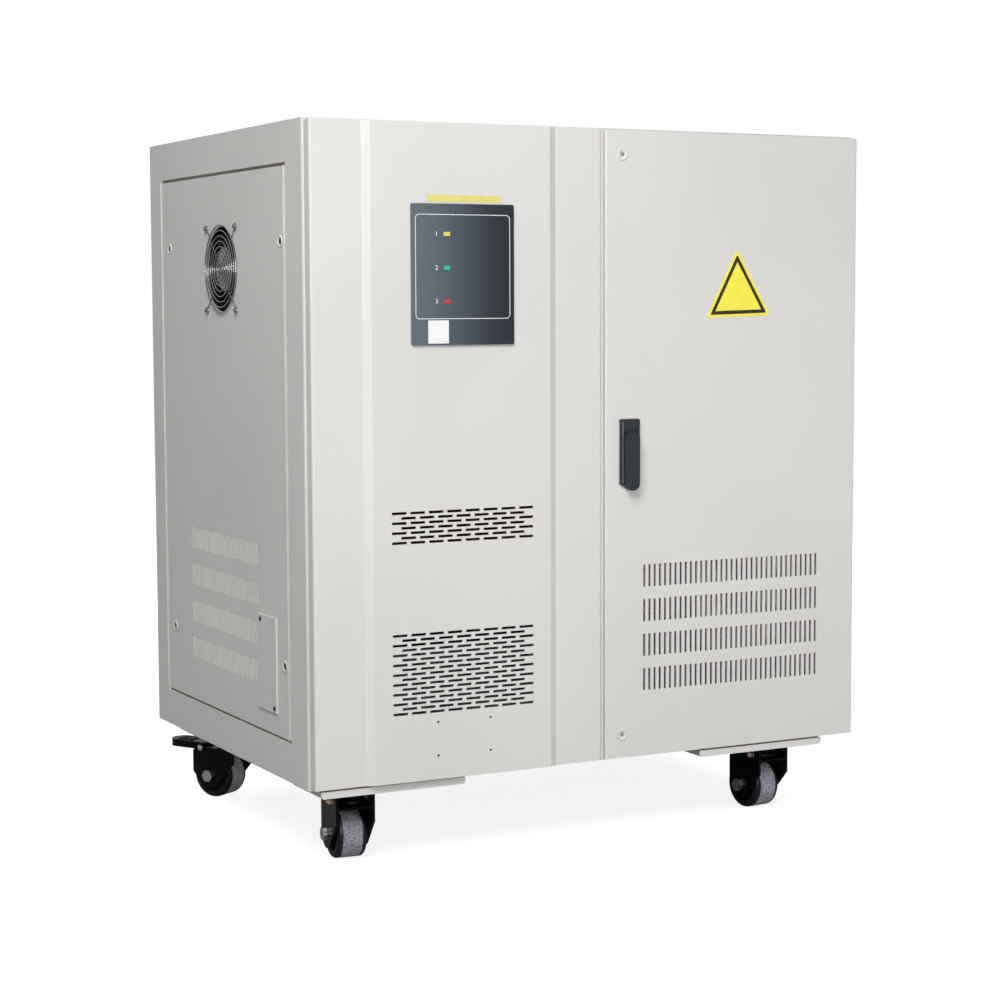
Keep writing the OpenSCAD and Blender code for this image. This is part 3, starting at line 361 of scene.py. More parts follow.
# %% Dress the solids
SLOT_FINISH = {
    "powder_coat": coat,
    "display_face": film,
    "lamp": lamps,
    "black_plastic": fan_black,
    "guard_chrome": chrome,
    "core_steel": steel_sheets,
    "winding_varnish": varnish,
    "zinc_steel": zinc,
    "board_laminate": laminate,
    "stud_brass": brass,
    "lock_black": lock_black,
    "caster_black": caster_black,
}


def dress(node, material):
    nodes[node].data.materials.clear()
    nodes[node].data.materials.append(material)


for part in frame["record"]["subparts"]:
    name = part["node"]
    if part["material_slot"] == "wheel_rubber":
        dress(name, bpy.data.materials["wheel_rubber_" + name.replace("_wheel", "")])
    else:
        dress(name, SLOT_FINISH[part["material_slot"]])

# %% [markdown]
# Small round pieces are turned on a lathe: a profile of radius and height is swept round an axis.
# The helper returns a mesh whose axis is +Z and whose foot is at z 0, ready to be set on a face.

# %% Lathe helper
def mesh_object(name, bm, material=None):
    mesh = bpy.data.meshes.new(name)
    bmesh.ops.remove_doubles(bm, verts=bm.verts, dist=1e-6)
    bmesh.ops.recalc_face_normals(bm, faces=bm.faces)
    bm.to_mesh(mesh)
    bm.free()
    piece = bpy.data.objects.new(name, mesh)
    bpy.context.scene.collection.objects.link(piece)
    if material:
        mesh.materials.append(material)
    return piece


def lathe(name, profile, steps=24, material=None):
    bm = bmesh.new()
    rings = []
    for radius, height in profile:
        if radius == 0:
            rings.append([bm.verts.new((0, 0, height))] * steps)
        else:
            turns = [2 * math.pi * i / steps for i in range(steps)]
            rings.append([bm.verts.new((radius * math.cos(a), radius * math.sin(a), height)) for a in turns])
    for lower, upper in zip(rings, rings[1:]):
        for i in range(steps):
            corners = []
            for vert in (lower[i], lower[(i + 1) % steps], upper[(i + 1) % steps], upper[i]):
                if vert not in corners:
                    corners.append(vert)
            bm.faces.new(corners)
    return mesh_object(name, bm, material)


# %% [markdown]
# Screws and bolts repeat, so Geometry Nodes set them out: a cloud of points carries the turn of
# each head as an attribute, and the tree puts one model head on every point. The instances are
# realized and baked into one plain mesh for each body, because an export would drop them.

# %% Setting-out tree
def setting_out_tree():
    tree = bpy.data.node_groups.new("setting_out", "GeometryNodeTree")
    face = tree.interface
    face.new_socket("Points", in_out="INPUT", socket_type="NodeSocketGeometry")
    face.new_socket("Head", in_out="INPUT", socket_type="NodeSocketObject")
    face.new_socket("Finish", in_out="INPUT", socket_type="NodeSocketMaterial")
    face.new_socket("Pieces", in_out="OUTPUT", socket_type="NodeSocketGeometry")
    source = tree.nodes.new("NodeGroupInput")
    result = tree.nodes.new("NodeGroupOutput")
    head = tree.nodes.new("GeometryNodeObjectInfo")
    turn = tree.nodes.new("GeometryNodeInputNamedAttribute")
    turn.data_type = "FLOAT_VECTOR"
    turn.inputs["Name"].default_value = "turn"
    as_rotation = tree.nodes.new("FunctionNodeEulerToRotation")
    instances = tree.nodes.new("GeometryNodeInstanceOnPoints")
    realize = tree.nodes.new("GeometryNodeRealizeInstances")
    coloured = tree.nodes.new("GeometryNodeSetMaterial")
    link = tree.links.new
    link(source.outputs["Points"], instances.inputs["Points"])
    link(source.outputs["Head"], head.inputs["Object"])
    link(head.outputs["Geometry"], instances.inputs["Instance"])
    link(turn.outputs["Attribute"], as_rotation.inputs[0])
    link(as_rotation.outputs[0], instances.inputs["Rotation"])
    link(instances.outputs["Instances"], realize.inputs["Geometry"])
    link(realize.outputs["Geometry"], coloured.inputs["Geometry"])
    link(source.outputs["Finish"], coloured.inputs["Material"])
    link(coloured.outputs["Geometry"], result.inputs["Pieces"])
    return tree


def set_inputs(modifier, values):
    for item in modifier.node_group.interface.items_tree:
        if item.item_type == "SOCKET" and item.in_out == "INPUT" and item.name in values:
            modifier[item.identifier] = values[item.name]


def bake_nodes(piece, tree, values):
    modifier = piece.modifiers.new("nodes", "NODES")
    modifier.node_group = tree
    set_inputs(modifier, values)
    bpy.context.view_layer.update()
    evaluated = piece.evaluated_get(bpy.context.evaluated_depsgraph_get())
    made = bpy.data.meshes.new_from_object(evaluated)
    piece.modifiers.remove(modifier)
    piece.data = made
    made.name = piece.name
    return piece


SETTING_OUT = setting_out_tree()


def set_out(name, head, spots, material, body):
    mesh = bpy.data.meshes.new(name)
    mesh.from_pydata([spot for spot, facing, roll in spots], [], [])
    turns = mesh.attributes.new("turn", "FLOAT_VECTOR", "POINT")
    for i, (spot, facing, roll) in enumerate(spots):
        quaternion = Vector(facing).to_track_quat("Z", "Y") @ Matrix.Rotation(roll, 3, "Z").to_quaternion()
        turns.data[i].vector = quaternion.to_euler()
    piece = bpy.data.objects.new(name, mesh)
    bpy.context.scene.collection.objects.link(piece)
    bake_nodes(piece, SETTING_OUT, {"Head": head, "Finish": material})
    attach(piece, body)
    print(name + ":", len(spots), "pieces,", len(piece.data.polygons), "faces")
    return piece


def retire(*masters):
    for master in masters:
        bpy.data.objects.remove(master)


print("setting-out tree:", len(SETTING_OUT.nodes), "nodes")

# %% [markdown]
# A pan head with a cross recess: the dome is turned, and the cross is cut out of it by two small
# boxes with a Boolean. The recess is real, so it catches a shadow from any side.

# %% Screw heads
def box_mesh(name, size, centre):
    bm = bmesh.new()
    bmesh.ops.create_cube(bm, size=1)
    bmesh.ops.scale(bm, vec=size, verts=bm.verts)
    bmesh.ops.translate(bm, vec=centre, verts=bm.verts)
    return mesh_object(name, bm)


def pan_head(name, radius, height):
    dome = [(radius * math.sin(a), height * math.cos(a)) for a in (math.radians(d) for d in range(72, 0, -18))]
    head = lathe(name, [(0, -0.2 * height), (radius, -0.2 * height), (radius, 0.25 * height), *dome, (0, height)])
    for size in ((1.1 * radius, 0.28 * radius, height), (0.28 * radius, 1.1 * radius, height)):
        cutter = box_mesh("cutter", size, (0, 0, 0.95 * height))
        cut = head.modifiers.new("cross", "BOOLEAN")
        cut.operation = "DIFFERENCE"
        cut.object = cutter
        bpy.context.view_layer.update()
        head.data = bpy.data.meshes.new_from_object(head.evaluated_get(bpy.context.evaluated_depsgraph_get()))
        head.modifiers.remove(cut)
        retire(cutter)
    return head


LEFT = (-1, 0, 0)
RIGHT = (1, 0, 0)
FRONT = (0, -1, 0)
PANEL_SCREW_FRONT = 13.5 * MM
PANEL_SCREW_BACK = 27 * MM
PANEL_SCREW_IN_Z = 89 * MM
PLATE_SCREW_IN = 6 * MM
PLATE_SCREW_BACK = 11 * MM
DISH_R = 7.4 * MM
DISH_H = 1.2 * MM
SCREW_R, SCREW_H = 4.2 * MM, 2.4 * MM
SMALL_SCREW_R, SMALL_SCREW_H = 3.0 * MM, 1.8 * MM
FAN_SCREW_PITCH = 105 * MM
FAN_SCREW_STAND = 2 * MM


def panel_screw_spots():
    spots = []
    for node, facing in (("left_side_panel", LEFT), ("right_side_panel", RIGHT)):
        low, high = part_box(node)
        x = low.x if facing == LEFT else high.x
        for y in (low.y + PANEL_SCREW_FRONT, high.y - PANEL_SCREW_BACK):
            for z in (low.z + PANEL_SCREW_IN_Z, high.z - PANEL_SCREW_IN_Z):
                spots.append(((x, y, z), facing, 0.4))
    return spots


def cable_screw_spots():
    low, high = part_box("cable_cover_plate")
    upper = (low.x, high.y - PLATE_SCREW_BACK, high.z - PLATE_SCREW_IN)
    lower = (low.x, low.y + PLATE_SCREW_IN, low.z + PLATE_SCREW_IN)
    return [(upper, LEFT, 0.2), (lower, LEFT, 0.9)]


def fan_screw_spots():
    x, y, z = joint_of["fan_spin"]["pos_m"]
    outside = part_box("left_side_panel")[0].x - FAN_SCREW_STAND
    half = FAN_SCREW_PITCH / 2
    steps = [(sy, sz) for sy in (-1, 1) for sz in (-1, 1)]
    return [((outside, y + sy * half, z + sz * half), LEFT, 0.3 * sy + sz) for sy, sz in steps]


screw = pan_head("screw_master", SCREW_R, SCREW_H)
small_screw = pan_head("small_screw_master", SMALL_SCREW_R, SMALL_SCREW_H)
flat_screw = pan_head("flat_screw_master", 0.55 * DISH_R, 0.5 * DISH_H)
dish = lathe("dish_master", [(DISH_R, -0.3 * DISH_H), (DISH_R, 0.15 * DISH_H), (0.88 * DISH_R, DISH_H),
                             (0.82 * DISH_R, DISH_H), (0.57 * DISH_R, 0.1 * DISH_H), (0, 0.1 * DISH_H)])
set_out("panel_screw_dishes", dish, panel_screw_spots(), coat, "cabinet")
# The screw heads are real; their black finish is painted shade where the heads sink into the dish.
set_out("panel_screws", flat_screw, panel_screw_spots(), lock_black, "cabinet")
set_out("cable_plate_screws", small_screw, cable_screw_spots(), lock_black, "cabinet")
set_out("fan_screws", screw, fan_screw_spots(), chrome, "cabinet")
retire(screw, small_screw, flat_screw, dish)

# %% [markdown]
# The press that punches a slot raises a small lip along its back edge, and the lips catch the light
# from the front. They are found from the panel itself: every narrow wall that faces the front is the
# back of a slot. A thin folded rim runs down both upright edges of each panel in the same way.

# %% Slot lips and panel rims
LIP = Vector((0.8, 27.0, 0.9)) * MM
RIM = Vector((1.2, 0, 1.6)) * MM
RIM_OUT = 4 * MM
SINK = 0.45
SLOT_SHORT, SLOT_TALL = 20 * MM, 40 * MM


def slot_backs(node):
    found = set()
    mesh = nodes[node].data
    for face in mesh.polygons:
        corners = [mesh.vertices[i].co for i in face.vertices]
        tall = max(c.z for c in corners) - min(c.z for c in corners)
        if face.normal.y < -0.99 and SLOT_SHORT < tall < SLOT_TALL:
            middle = (max(c.z for c in corners) + min(c.z for c in corners)) / 2
            found.add((round(corners[0].y, 5), round(middle, 5)))
    return sorted(found)


for node, facing in (("left_side_panel", LEFT), ("right_side_panel", RIGHT)):
    low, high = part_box(node)
    x = low.x if facing == LEFT else high.x
    side = node.split("_")[0]
    lip = box_mesh("lip_master", LIP, (0, 0, SINK * LIP.z))
    spots = [((x, y + LIP.x / 2, z), facing, 0.0) for y, z in slot_backs(node)]
    set_out(side + "_slot_lips", lip, spots, coat, "cabinet")
    edge = box_mesh("rim_master", (RIM.x, high.z - low.z, RIM.z), (0, 0, SINK * RIM.z))
    middle = (low.z + high.z) / 2
    spots = [((x, y, middle), facing, 0.0) for y in (low.y + RIM.x / 2, high.y + RIM_OUT + RIM.x / 2)]
    set_out(side + "_panel_rims", edge, spots, coat, "cabinet")
    retire(lip, edge)

# %% [markdown]
# The door has two quarter-turn fasteners near its left edge. Each is a round cup, white like the door, with a
# socket in its middle, so it is one lathe profile that dips into the centre. The socket's black finish is painted
# shade inside the hole.

# %% Door fasteners
CUP_R = 7.8 * MM
CUP_RIM = 1.1 * MM
SOCKET_R = 3.6 * MM
FASTENER_IN_X = 25 * MM
FASTENER_IN_Z = 30 * MM


def fastener_spots():
    low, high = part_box("door_panel")
    x = low.x + FASTENER_IN_X
    return [((x, low.y, z), FRONT, 0.0) for z in (low.z + FASTENER_IN_Z, high.z - FASTENER_IN_Z)]


cup = lathe("cup_master", [(CUP_R, -CUP_RIM), (CUP_R, 0.5 * CUP_RIM), (0.92 * CUP_R, CUP_RIM),
                           (0.78 * CUP_R, CUP_RIM), (1.2 * SOCKET_R, 0.35 * CUP_RIM),
                           (SOCKET_R, 0.35 * CUP_RIM), (SOCKET_R, -CUP_RIM)])
socket = lathe("socket_master", [(SOCKET_R, -0.4 * CUP_RIM), (0.7 * SOCKET_R, -0.4 * CUP_RIM),
                                 (0.6 * SOCKET_R, 0.2 * CUP_RIM), (0.35 * SOCKET_R, 0.2 * CUP_RIM),
                                 (0.3 * SOCKET_R, -0.6 * CUP_RIM), (0, -0.6 * CUP_RIM)])
set_out("door_fastener_cups", cup, fastener_spots(), coat, "door")
# The socket is a real shallow recess; its black finish is painted shade in the hole.
set_out("door_fastener_sockets", socket, fastener_spots(), lock_black, "door")
retire(cup, socket)

# %% [markdown]
# A small bolt with its washer, yellow zinc, stands out near the top of each front fork's left side.
# A braked caster has a bright dome at each end of its pedal's pin, and the dome rides with the pedal.

# %% Caster bolts and rivets
NUT_FLATS = 8 * MM
NUT_H = 5 * MM
BOLT_END = 7.5 * MM
BOLT_END_R = 2.5 * MM
BOLT_AHEAD = 7 * MM
BOLT_DROP = 7 * MM
RIVET_R = 4.1 * MM


def fork_bolt_spot(corner):
    swivel = Vector(joint_of[corner + "_swivel"]["pos_m"])
    trail = swivel - Vector(joint_of[corner + "_roll"]["pos_m"])
    ahead = Vector((trail.x, trail.y, 0)).normalized()
    left = Vector((ahead.y, -ahead.x, 0))
    reach = max((vert.co - swivel).dot(left) for vert in nodes[corner + "_fork"].data.vertices)
    spot = swivel + BOLT_AHEAD * ahead + reach * left
    spot.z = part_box(corner + "_fork")[1].z - BOLT_DROP
    return spot, left, 0.3


def rivet_spots(corner):
    joint = joint_of[corner + "_brake"]
    middle, axis = Vector(joint["pos_m"]), Vector(joint["axis"])
    reach = max(abs((vert.co - middle).dot(axis)) for vert in nodes[corner + "_pedal"].data.vertices)
    return [(middle + side * reach * axis, side * axis, 0.0) for side in (-1, 1)]


hexagon = NUT_FLATS / math.sqrt(3)
bolt = lathe("bolt_master", [(0, 0), (1.1 * hexagon, 0), (1.1 * hexagon, 0.8 * MM), (hexagon, 0.8 * MM),
                             (hexagon, 0.9 * NUT_H), (0.86 * hexagon, NUT_H), (BOLT_END_R, NUT_H),
                             (BOLT_END_R, BOLT_END - 1 * MM), (0.7 * BOLT_END_R, BOLT_END), (0, BOLT_END)], 6)
for corner in CORNERS[:2]:
    set_out(corner + "_fork_bolt", bolt, [fork_bolt_spot(corner)], bolt_yellow, corner + "_caster")
rivet = lathe("rivet_master", [(0, -0.3 * MM), (RIVET_R, -0.3 * MM), (RIVET_R, 0.3 * MM), (0.8 * RIVET_R, 1.2 * MM),
                               (0.45 * RIVET_R, 1.8 * MM), (0, 2 * MM)])
for corner in CORNERS[2:]:
    set_out(corner + "_pedal_rivets", rivet, rivet_spots(corner), bright_steel, corner + "_pedal")
retire(bolt, rivet)

# %% [markdown]
# The display is a printed film. A thin white line with round corners frames the readings, and a
# plain white square and a yellow strip mark where notes go. The line follows a path, so a small
# tree draws a rectangle, rounds its corners and sweeps a flat ribbon along it.

# %% Display print
def ribbon_tree():
    tree = bpy.data.node_groups.new("ribbon_frame", "GeometryNodeTree")
    face = tree.interface
    for name in ("Width", "Height", "Corner", "Line"):
        face.new_socket(name, in_out="INPUT", socket_type="NodeSocketFloat")
    face.new_socket("Finish", in_out="INPUT", socket_type="NodeSocketMaterial")
    face.new_socket("Ribbon", in_out="OUTPUT", socket_type="NodeSocketGeometry")
    source = tree.nodes.new("NodeGroupInput")
    result = tree.nodes.new("NodeGroupOutput")
    outline = tree.nodes.new("GeometryNodeCurvePrimitiveQuadrilateral")
    corners = tree.nodes.new("GeometryNodeFilletCurve")
    corners.mode = "POLY"
    corners.inputs["Count"].default_value = 6
    profile = tree.nodes.new("GeometryNodeCurvePrimitiveCircle")
    profile.inputs["Resolution"].default_value = 8
    sweep = tree.nodes.new("GeometryNodeCurveToMesh")
    realize = tree.nodes.new("GeometryNodeRealizeInstances")
    coloured = tree.nodes.new("GeometryNodeSetMaterial")
    link = tree.links.new
    link(source.outputs["Width"], outline.inputs["Width"])
    link(source.outputs["Height"], outline.inputs["Height"])
    link(outline.outputs["Curve"], corners.inputs["Curve"])
    link(source.outputs["Corner"], corners.inputs["Radius"])
    link(corners.outputs["Curve"], sweep.inputs["Curve"])
    link(source.outputs["Line"], profile.inputs["Radius"])
    link(profile.outputs["Curve"], sweep.inputs["Profile Curve"])
    link(sweep.outputs["Mesh"], realize.inputs["Geometry"])
    link(realize.outputs["Geometry"], coloured.inputs["Geometry"])
    link(source.outputs["Finish"], coloured.inputs["Material"])
    link(coloured.outputs["Geometry"], result.inputs["Ribbon"])
    return tree


def empty_piece(name):
    piece = bpy.data.objects.new(name, bpy.data.meshes.new(name))
    bpy.context.scene.collection.objects.link(piece)
    return piece


def plate(name, outline, back_y, thickness, material, body):
    bm = bmesh.new()
    face = bm.faces.new([bm.verts.new((x, back_y, z)) for x, z in outline])
    pushed = bmesh.ops.extrude_face_region(bm, geom=[face])["geom"]
    moved = [item for item in pushed if isinstance(item, bmesh.types.BMVert)]
    bmesh.ops.translate(bm, vec=(0, -thickness, 0), verts=moved)
    piece = mesh_object(name, bm, material)
    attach(piece, body)
    print(name + ":", len(piece.data.polygons), "faces")
    return piece


def rectangle(left, right, foot, head):
    return [(left, foot), (right, foot), (right, head), (left, head)]


white_print = speckled("white_print", (0.80, 0.81, 0.82), 0.4, 0.5, 1 * MM, 0.01 * MM)
yellow_print = speckled("yellow_print", (0.70, 0.62, 0.19), 0.4, 0.5, 1 * MM, 0.01 * MM)
film_low, film_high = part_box("display_panel")
film_mid = (film_low + film_high) / 2
PRINT_T = 0.12 * MM
FRAME_LINE = 0.45 * MM
FRAME_CORNER = 5 * MM
FRAME_BOX = (-63.2 * MM, 62.8 * MM, -52.5 * MM, 71.2 * MM)
NOTE_BOX = (-47.2 * MM, -19.8 * MM, -82.0 * MM, -54.5 * MM)
STRIP_BOX = (-46.6 * MM, 52.0 * MM, 86.4 * MM, 94.5 * MM)


def about_film(box):
    left, right, foot, head = box
    return (film_mid.x + left, film_mid.x + right, film_mid.z + foot, film_mid.z + head)


def display_frame():
    left, right, foot, head = about_film(FRAME_BOX)
    piece = empty_piece("display_frame_line")
    values = {"Width": right - left, "Height": head - foot, "Corner": FRAME_CORNER}
    values.update({"Line": FRAME_LINE, "Finish": white_print})
    bake_nodes(piece, ribbon_tree(), values)
    flat = Matrix.Diagonal((1, 1, 0.25, 1))
    stand = Matrix.Rotation(math.radians(90), 4, "X")
    centre = Matrix.Translation(((left + right) / 2, film_low.y, (foot + head) / 2))
    piece.data.transform(centre @ stand @ flat)
    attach(piece, "cabinet")
    return piece


display_frame()
plate("display_note_square", rectangle(*about_film(NOTE_BOX)), film_low.y, PRINT_T, white_print, "cabinet")
cover_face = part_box("front_cover")[0].y
plate("display_yellow_strip", rectangle(*about_film(STRIP_BOX)), cover_face, PRINT_T, yellow_print, "cabinet")

# %% [markdown]
# Plain numbers stand beside the three lamps. Text is made a mesh first and then put in its place,
# because a finished piece sits at the origin with its place in its mesh.

# %% Lamp numbers
NUMBER_H = 5.6 * MM
NUMBER_LEFT = 13.6 * MM
LAMP_H = 5 * MM


def lamp_number(digit, x, z):
    curve = bpy.data.curves.new("lamp_number_" + digit, "FONT")
    curve.body = digit
    curve.size = 1.4 * NUMBER_H
    curve.extrude = PRINT_T / 2
    curve.align_x = "CENTER"
    curve.align_y = "CENTER"
    text = bpy.data.objects.new("text", curve)
    bpy.context.scene.collection.objects.link(text)
    bpy.context.view_layer.update()
    mesh = bpy.data.meshes.new_from_object(text.evaluated_get(bpy.context.evaluated_depsgraph_get()))
    retire(text)
    stand = Matrix.Rotation(math.radians(90), 4, "X")
    mesh.transform(Matrix.Translation((x, film_low.y, z)) @ stand)
    piece = bpy.data.objects.new("lamp_number_" + digit, mesh)
    bpy.context.scene.collection.objects.link(piece)
    mesh.materials.clear()
    mesh.materials.append(white_print)
    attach(piece, "cabinet")


lamp_low, lamp_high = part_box("indicator_lamps")
lamp_mid = (lamp_low + lamp_high) / 2
lamp_step = (lamp_high.z - lamp_low.z - LAMP_H) / 2
for row, digit in enumerate("123"):
    lamp_number(digit, lamp_mid.x - NUMBER_LEFT, lamp_mid.z + (1 - row) * lamp_step)
print("lamp numbers: 3")

# %% [markdown]
# The door carries a plain yellow triangle with a black band, fixed a little out of true.
# It is three thin plates, each a smaller copy of the first about the triangle's own middle.

# %% Triangle plate
SIGN_BASE = 97.5 * MM
SIGN_HEIGHT = 85.9 * MM
SIGN_TILT = math.radians(1.7)
SIGN_T = 0.3 * MM
INK_T = 0.06 * MM
BAND_IN = 3.4 * MM
MIDDLE_IN = 8.0 * MM
SIGN_FOOT = Vector((197.7 * MM, 558.2 * MM))
sign_yellow = speckled("sign_yellow", (0.90, 0.78, 0.075), 0.32, 0.42, 1 * MM, 0.01 * MM)
sign_black = speckled("sign_black", (0.022, 0.020, 0.016), 0.4, 0.5, 1 * MM, 0.01 * MM)


def rounded_triangle(inset, corner, steps=5):
    slope = math.hypot(SIGN_HEIGHT, SIGN_BASE / 2)
    inner = SIGN_BASE * SIGN_HEIGHT / (SIGN_BASE + 2 * slope)
    shrink = (inner - inset - corner) / inner
    middle = Vector((0, inner))
    tips = [Vector((-SIGN_BASE / 2, 0)), Vector((SIGN_BASE / 2, 0)), Vector((0, SIGN_HEIGHT))]
    centres = [middle + (tip - middle) * shrink for tip in tips]
    lean = math.atan2(SIGN_HEIGHT, SIGN_BASE / 2)
    starts = [math.pi / 2 + lean, -math.pi / 2, math.pi / 2 - lean]
    sweeps = [math.pi - lean, math.pi - lean, 2 * lean]
    points = []
    for centre, start, sweep in zip(centres, starts, sweeps):
        for i in range(steps + 1):
            angle = start + sweep * i / steps
            points.append(centre + corner * Vector((math.cos(angle), math.sin(angle))))
    turn = Matrix.Rotation(SIGN_TILT, 2)
    foot = Vector((door_corner.x, door_corner.z)) + SIGN_FOOT
    return [tuple(turn @ p + foot) for p in points]


door_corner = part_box("door_panel")[0]
door_face = door_corner.y
band_back = door_face - SIGN_T
plate("triangle_edge", rounded_triangle(0, 2.5 * MM), door_face, SIGN_T, sign_yellow, "door")
plate("triangle_band", rounded_triangle(BAND_IN, 1.2 * MM), band_back, INK_T, sign_black, "door")
plate("triangle_middle", rounded_triangle(MIDDLE_IN, 0.4 * MM), band_back - INK_T, INK_T, sign_yellow, "door")

# %% [markdown]
# A soft white seal narrows the gap between the cover and the door to a thin line, and a thin raised rail
# runs down the left of the lock's base. The rail's pale grey is a painted highlight of its lit edge.

# %% Seal and rail
SEAL_GAP = 2.2 * MM
SEAL_D = 3 * MM
SEAL_LAP = 0.2 * MM
RAIL_IN = 2.2 * MM
RAIL_W = 1.3 * MM
RAIL_END = 2 * MM
RAIL_T = 0.25 * MM
cover_low, cover_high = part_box("front_cover")
seal = rectangle(cover_high.x - SEAL_LAP, door_corner.x - SEAL_GAP, cover_low.z, cover_high.z)
plate("cover_edge_seal", seal, door_face + SEAL_D, SEAL_D, coat, "cabinet")
base_low, base_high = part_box("lock_base")
rail_left = base_low.x + RAIL_IN
rail = rectangle(rail_left, rail_left + RAIL_W, base_low.z + RAIL_END, base_high.z - RAIL_END)
# The rail is real; its pale grey is a painted highlight of its lit edge, not the lock's own colour.
rail_grey = speckled("rail_grey", (0.17, 0.18, 0.20), 0.3, 0.4, 0.6 * MM, 0.02 * MM)
plate("lock_base_rail", rail, base_low.y, RAIL_T, rail_grey, "door")

# %% [markdown]
# The fan's hub shows a round grey-green sticker behind the guard. It rides on the rotor.

# %% Hub sticker
STICKER_R = 28 * MM
STICKER_T = 0.3 * MM
sticker_grey = speckled("hub_sticker", (0.34, 0.38, 0.37), 0.35, 0.6, 1 * MM, 0.03 * MM)
fan_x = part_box("fan_rotor")[0].x
fan_place = Vector(joint_of["fan_spin"]["pos_m"])
sticker = lathe("hub_sticker", [(0, -STICKER_T), (STICKER_R, -STICKER_T), (STICKER_R, STICKER_T / 2),
                                (0.96 * STICKER_R, STICKER_T), (0, STICKER_T)], 40, sticker_grey)
sideways = Matrix.Rotation(math.radians(-90), 4, "Y")
sticker.data.transform(Matrix.Translation((fan_x, fan_place.y, fan_place.z)) @ sideways)
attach(sticker, "fan_rotor")
print("hub sticker:", len(sticker.data.polygons), "faces")

# %% [markdown]
# Behind the door the windings show their turns. One tree draws a rounded rectangle round the limb,
# sweeps a wire along it and stacks the loops at an even pitch, so the varnished turns are real.

# %% Winding turns
WIRE_R = 2.0 * MM
WIRE_PITCH = 4.3 * MM
TURN_CORNER = 44 * MM


def turns_tree():
    tree = bpy.data.node_groups.new("winding_turns", "GeometryNodeTree")
    face = tree.interface
    for name in ("Width", "Depth", "Corner", "Wire", "Pitch", "Foot"):
        face.new_socket(name, in_out="INPUT", socket_type="NodeSocketFloat")
    face.new_socket("Turns", in_out="INPUT", socket_type="NodeSocketInt")
    face.new_socket("Finish", in_out="INPUT", socket_type="NodeSocketMaterial")
    face.new_socket("Coil", in_out="OUTPUT", socket_type="NodeSocketGeometry")
    source = tree.nodes.new("NodeGroupInput")
    result = tree.nodes.new("NodeGroupOutput")
    outline = tree.nodes.new("GeometryNodeCurvePrimitiveQuadrilateral")
    corners = tree.nodes.new("GeometryNodeFilletCurve")
    corners.mode = "POLY"
    corners.inputs["Count"].default_value = 8
    profile = tree.nodes.new("GeometryNodeCurvePrimitiveCircle")
    profile.inputs["Resolution"].default_value = 8
    sweep = tree.nodes.new("GeometryNodeCurveToMesh")
    start = tree.nodes.new("ShaderNodeCombineXYZ")
    step = tree.nodes.new("ShaderNodeCombineXYZ")
    stack = tree.nodes.new("GeometryNodeMeshLine")
    loops = tree.nodes.new("GeometryNodeInstanceOnPoints")
    realize = tree.nodes.new("GeometryNodeRealizeInstances")
    coloured = tree.nodes.new("GeometryNodeSetMaterial")
    link = tree.links.new
    link(source.outputs["Width"], outline.inputs["Width"])
    link(source.outputs["Depth"], outline.inputs["Height"])
    link(outline.outputs["Curve"], corners.inputs["Curve"])
    link(source.outputs["Corner"], corners.inputs["Radius"])
    link(corners.outputs["Curve"], sweep.inputs["Curve"])
    link(source.outputs["Wire"], profile.inputs["Radius"])
    link(profile.outputs["Curve"], sweep.inputs["Profile Curve"])
    link(source.outputs["Foot"], start.inputs["Z"])
    link(source.outputs["Pitch"], step.inputs["Z"])
    link(source.outputs["Turns"], stack.inputs["Count"])
    link(start.outputs["Vector"], stack.inputs["Start Location"])
    link(step.outputs["Vector"], stack.inputs["Offset"])
    link(stack.outputs["Mesh"], loops.inputs["Points"])
    link(sweep.outputs["Mesh"], loops.inputs["Instance"])
    link(loops.outputs["Instances"], realize.inputs["Geometry"])
    link(realize.outputs["Geometry"], coloured.inputs["Geometry"])
    link(source.outputs["Finish"], coloured.inputs["Material"])
    link(coloured.outputs["Geometry"], result.inputs["Coil"])
    return tree


TURNS = turns_tree()
for limb in ("left", "centre", "right"):
    low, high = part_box(limb + "_winding")
    piece = empty_piece(limb + "_winding_turns")
    count = int((high.z - low.z - 2 * WIRE_R) / WIRE_PITCH)
    values = {"Width": high.x - low.x, "Depth": high.y - low.y, "Corner": TURN_CORNER, "Wire": WIRE_R}
    values.update({"Pitch": WIRE_PITCH, "Foot": low.z + 2 * WIRE_R, "Turns": count, "Finish": varnish})
    bake_nodes(piece, TURNS, values)
    piece.data.transform(Matrix.Translation(((low.x + high.x) / 2, (low.y + high.y) / 2, 0)))
    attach(piece, "cabinet")
    print(piece.name + ":", count, "turns,", len(piece.data.polygons), "faces")

# %% [markdown]
# The stage is a plain pale floor under soft light. The floor looks white to the camera and still
# takes the shadow of the cabinet, because its own diffuse light is mixed with a steady glow that
# only the camera sees. The glow rises away from the cabinet, so floor and background meet unseen.

# %% Floor
FLOOR_SIDE = 14.0
FLOOR_GLOW = 0.86
GLOW_START = 0.9
GLOW_FULL = 2.6
FLOOR_GREY = 0.34


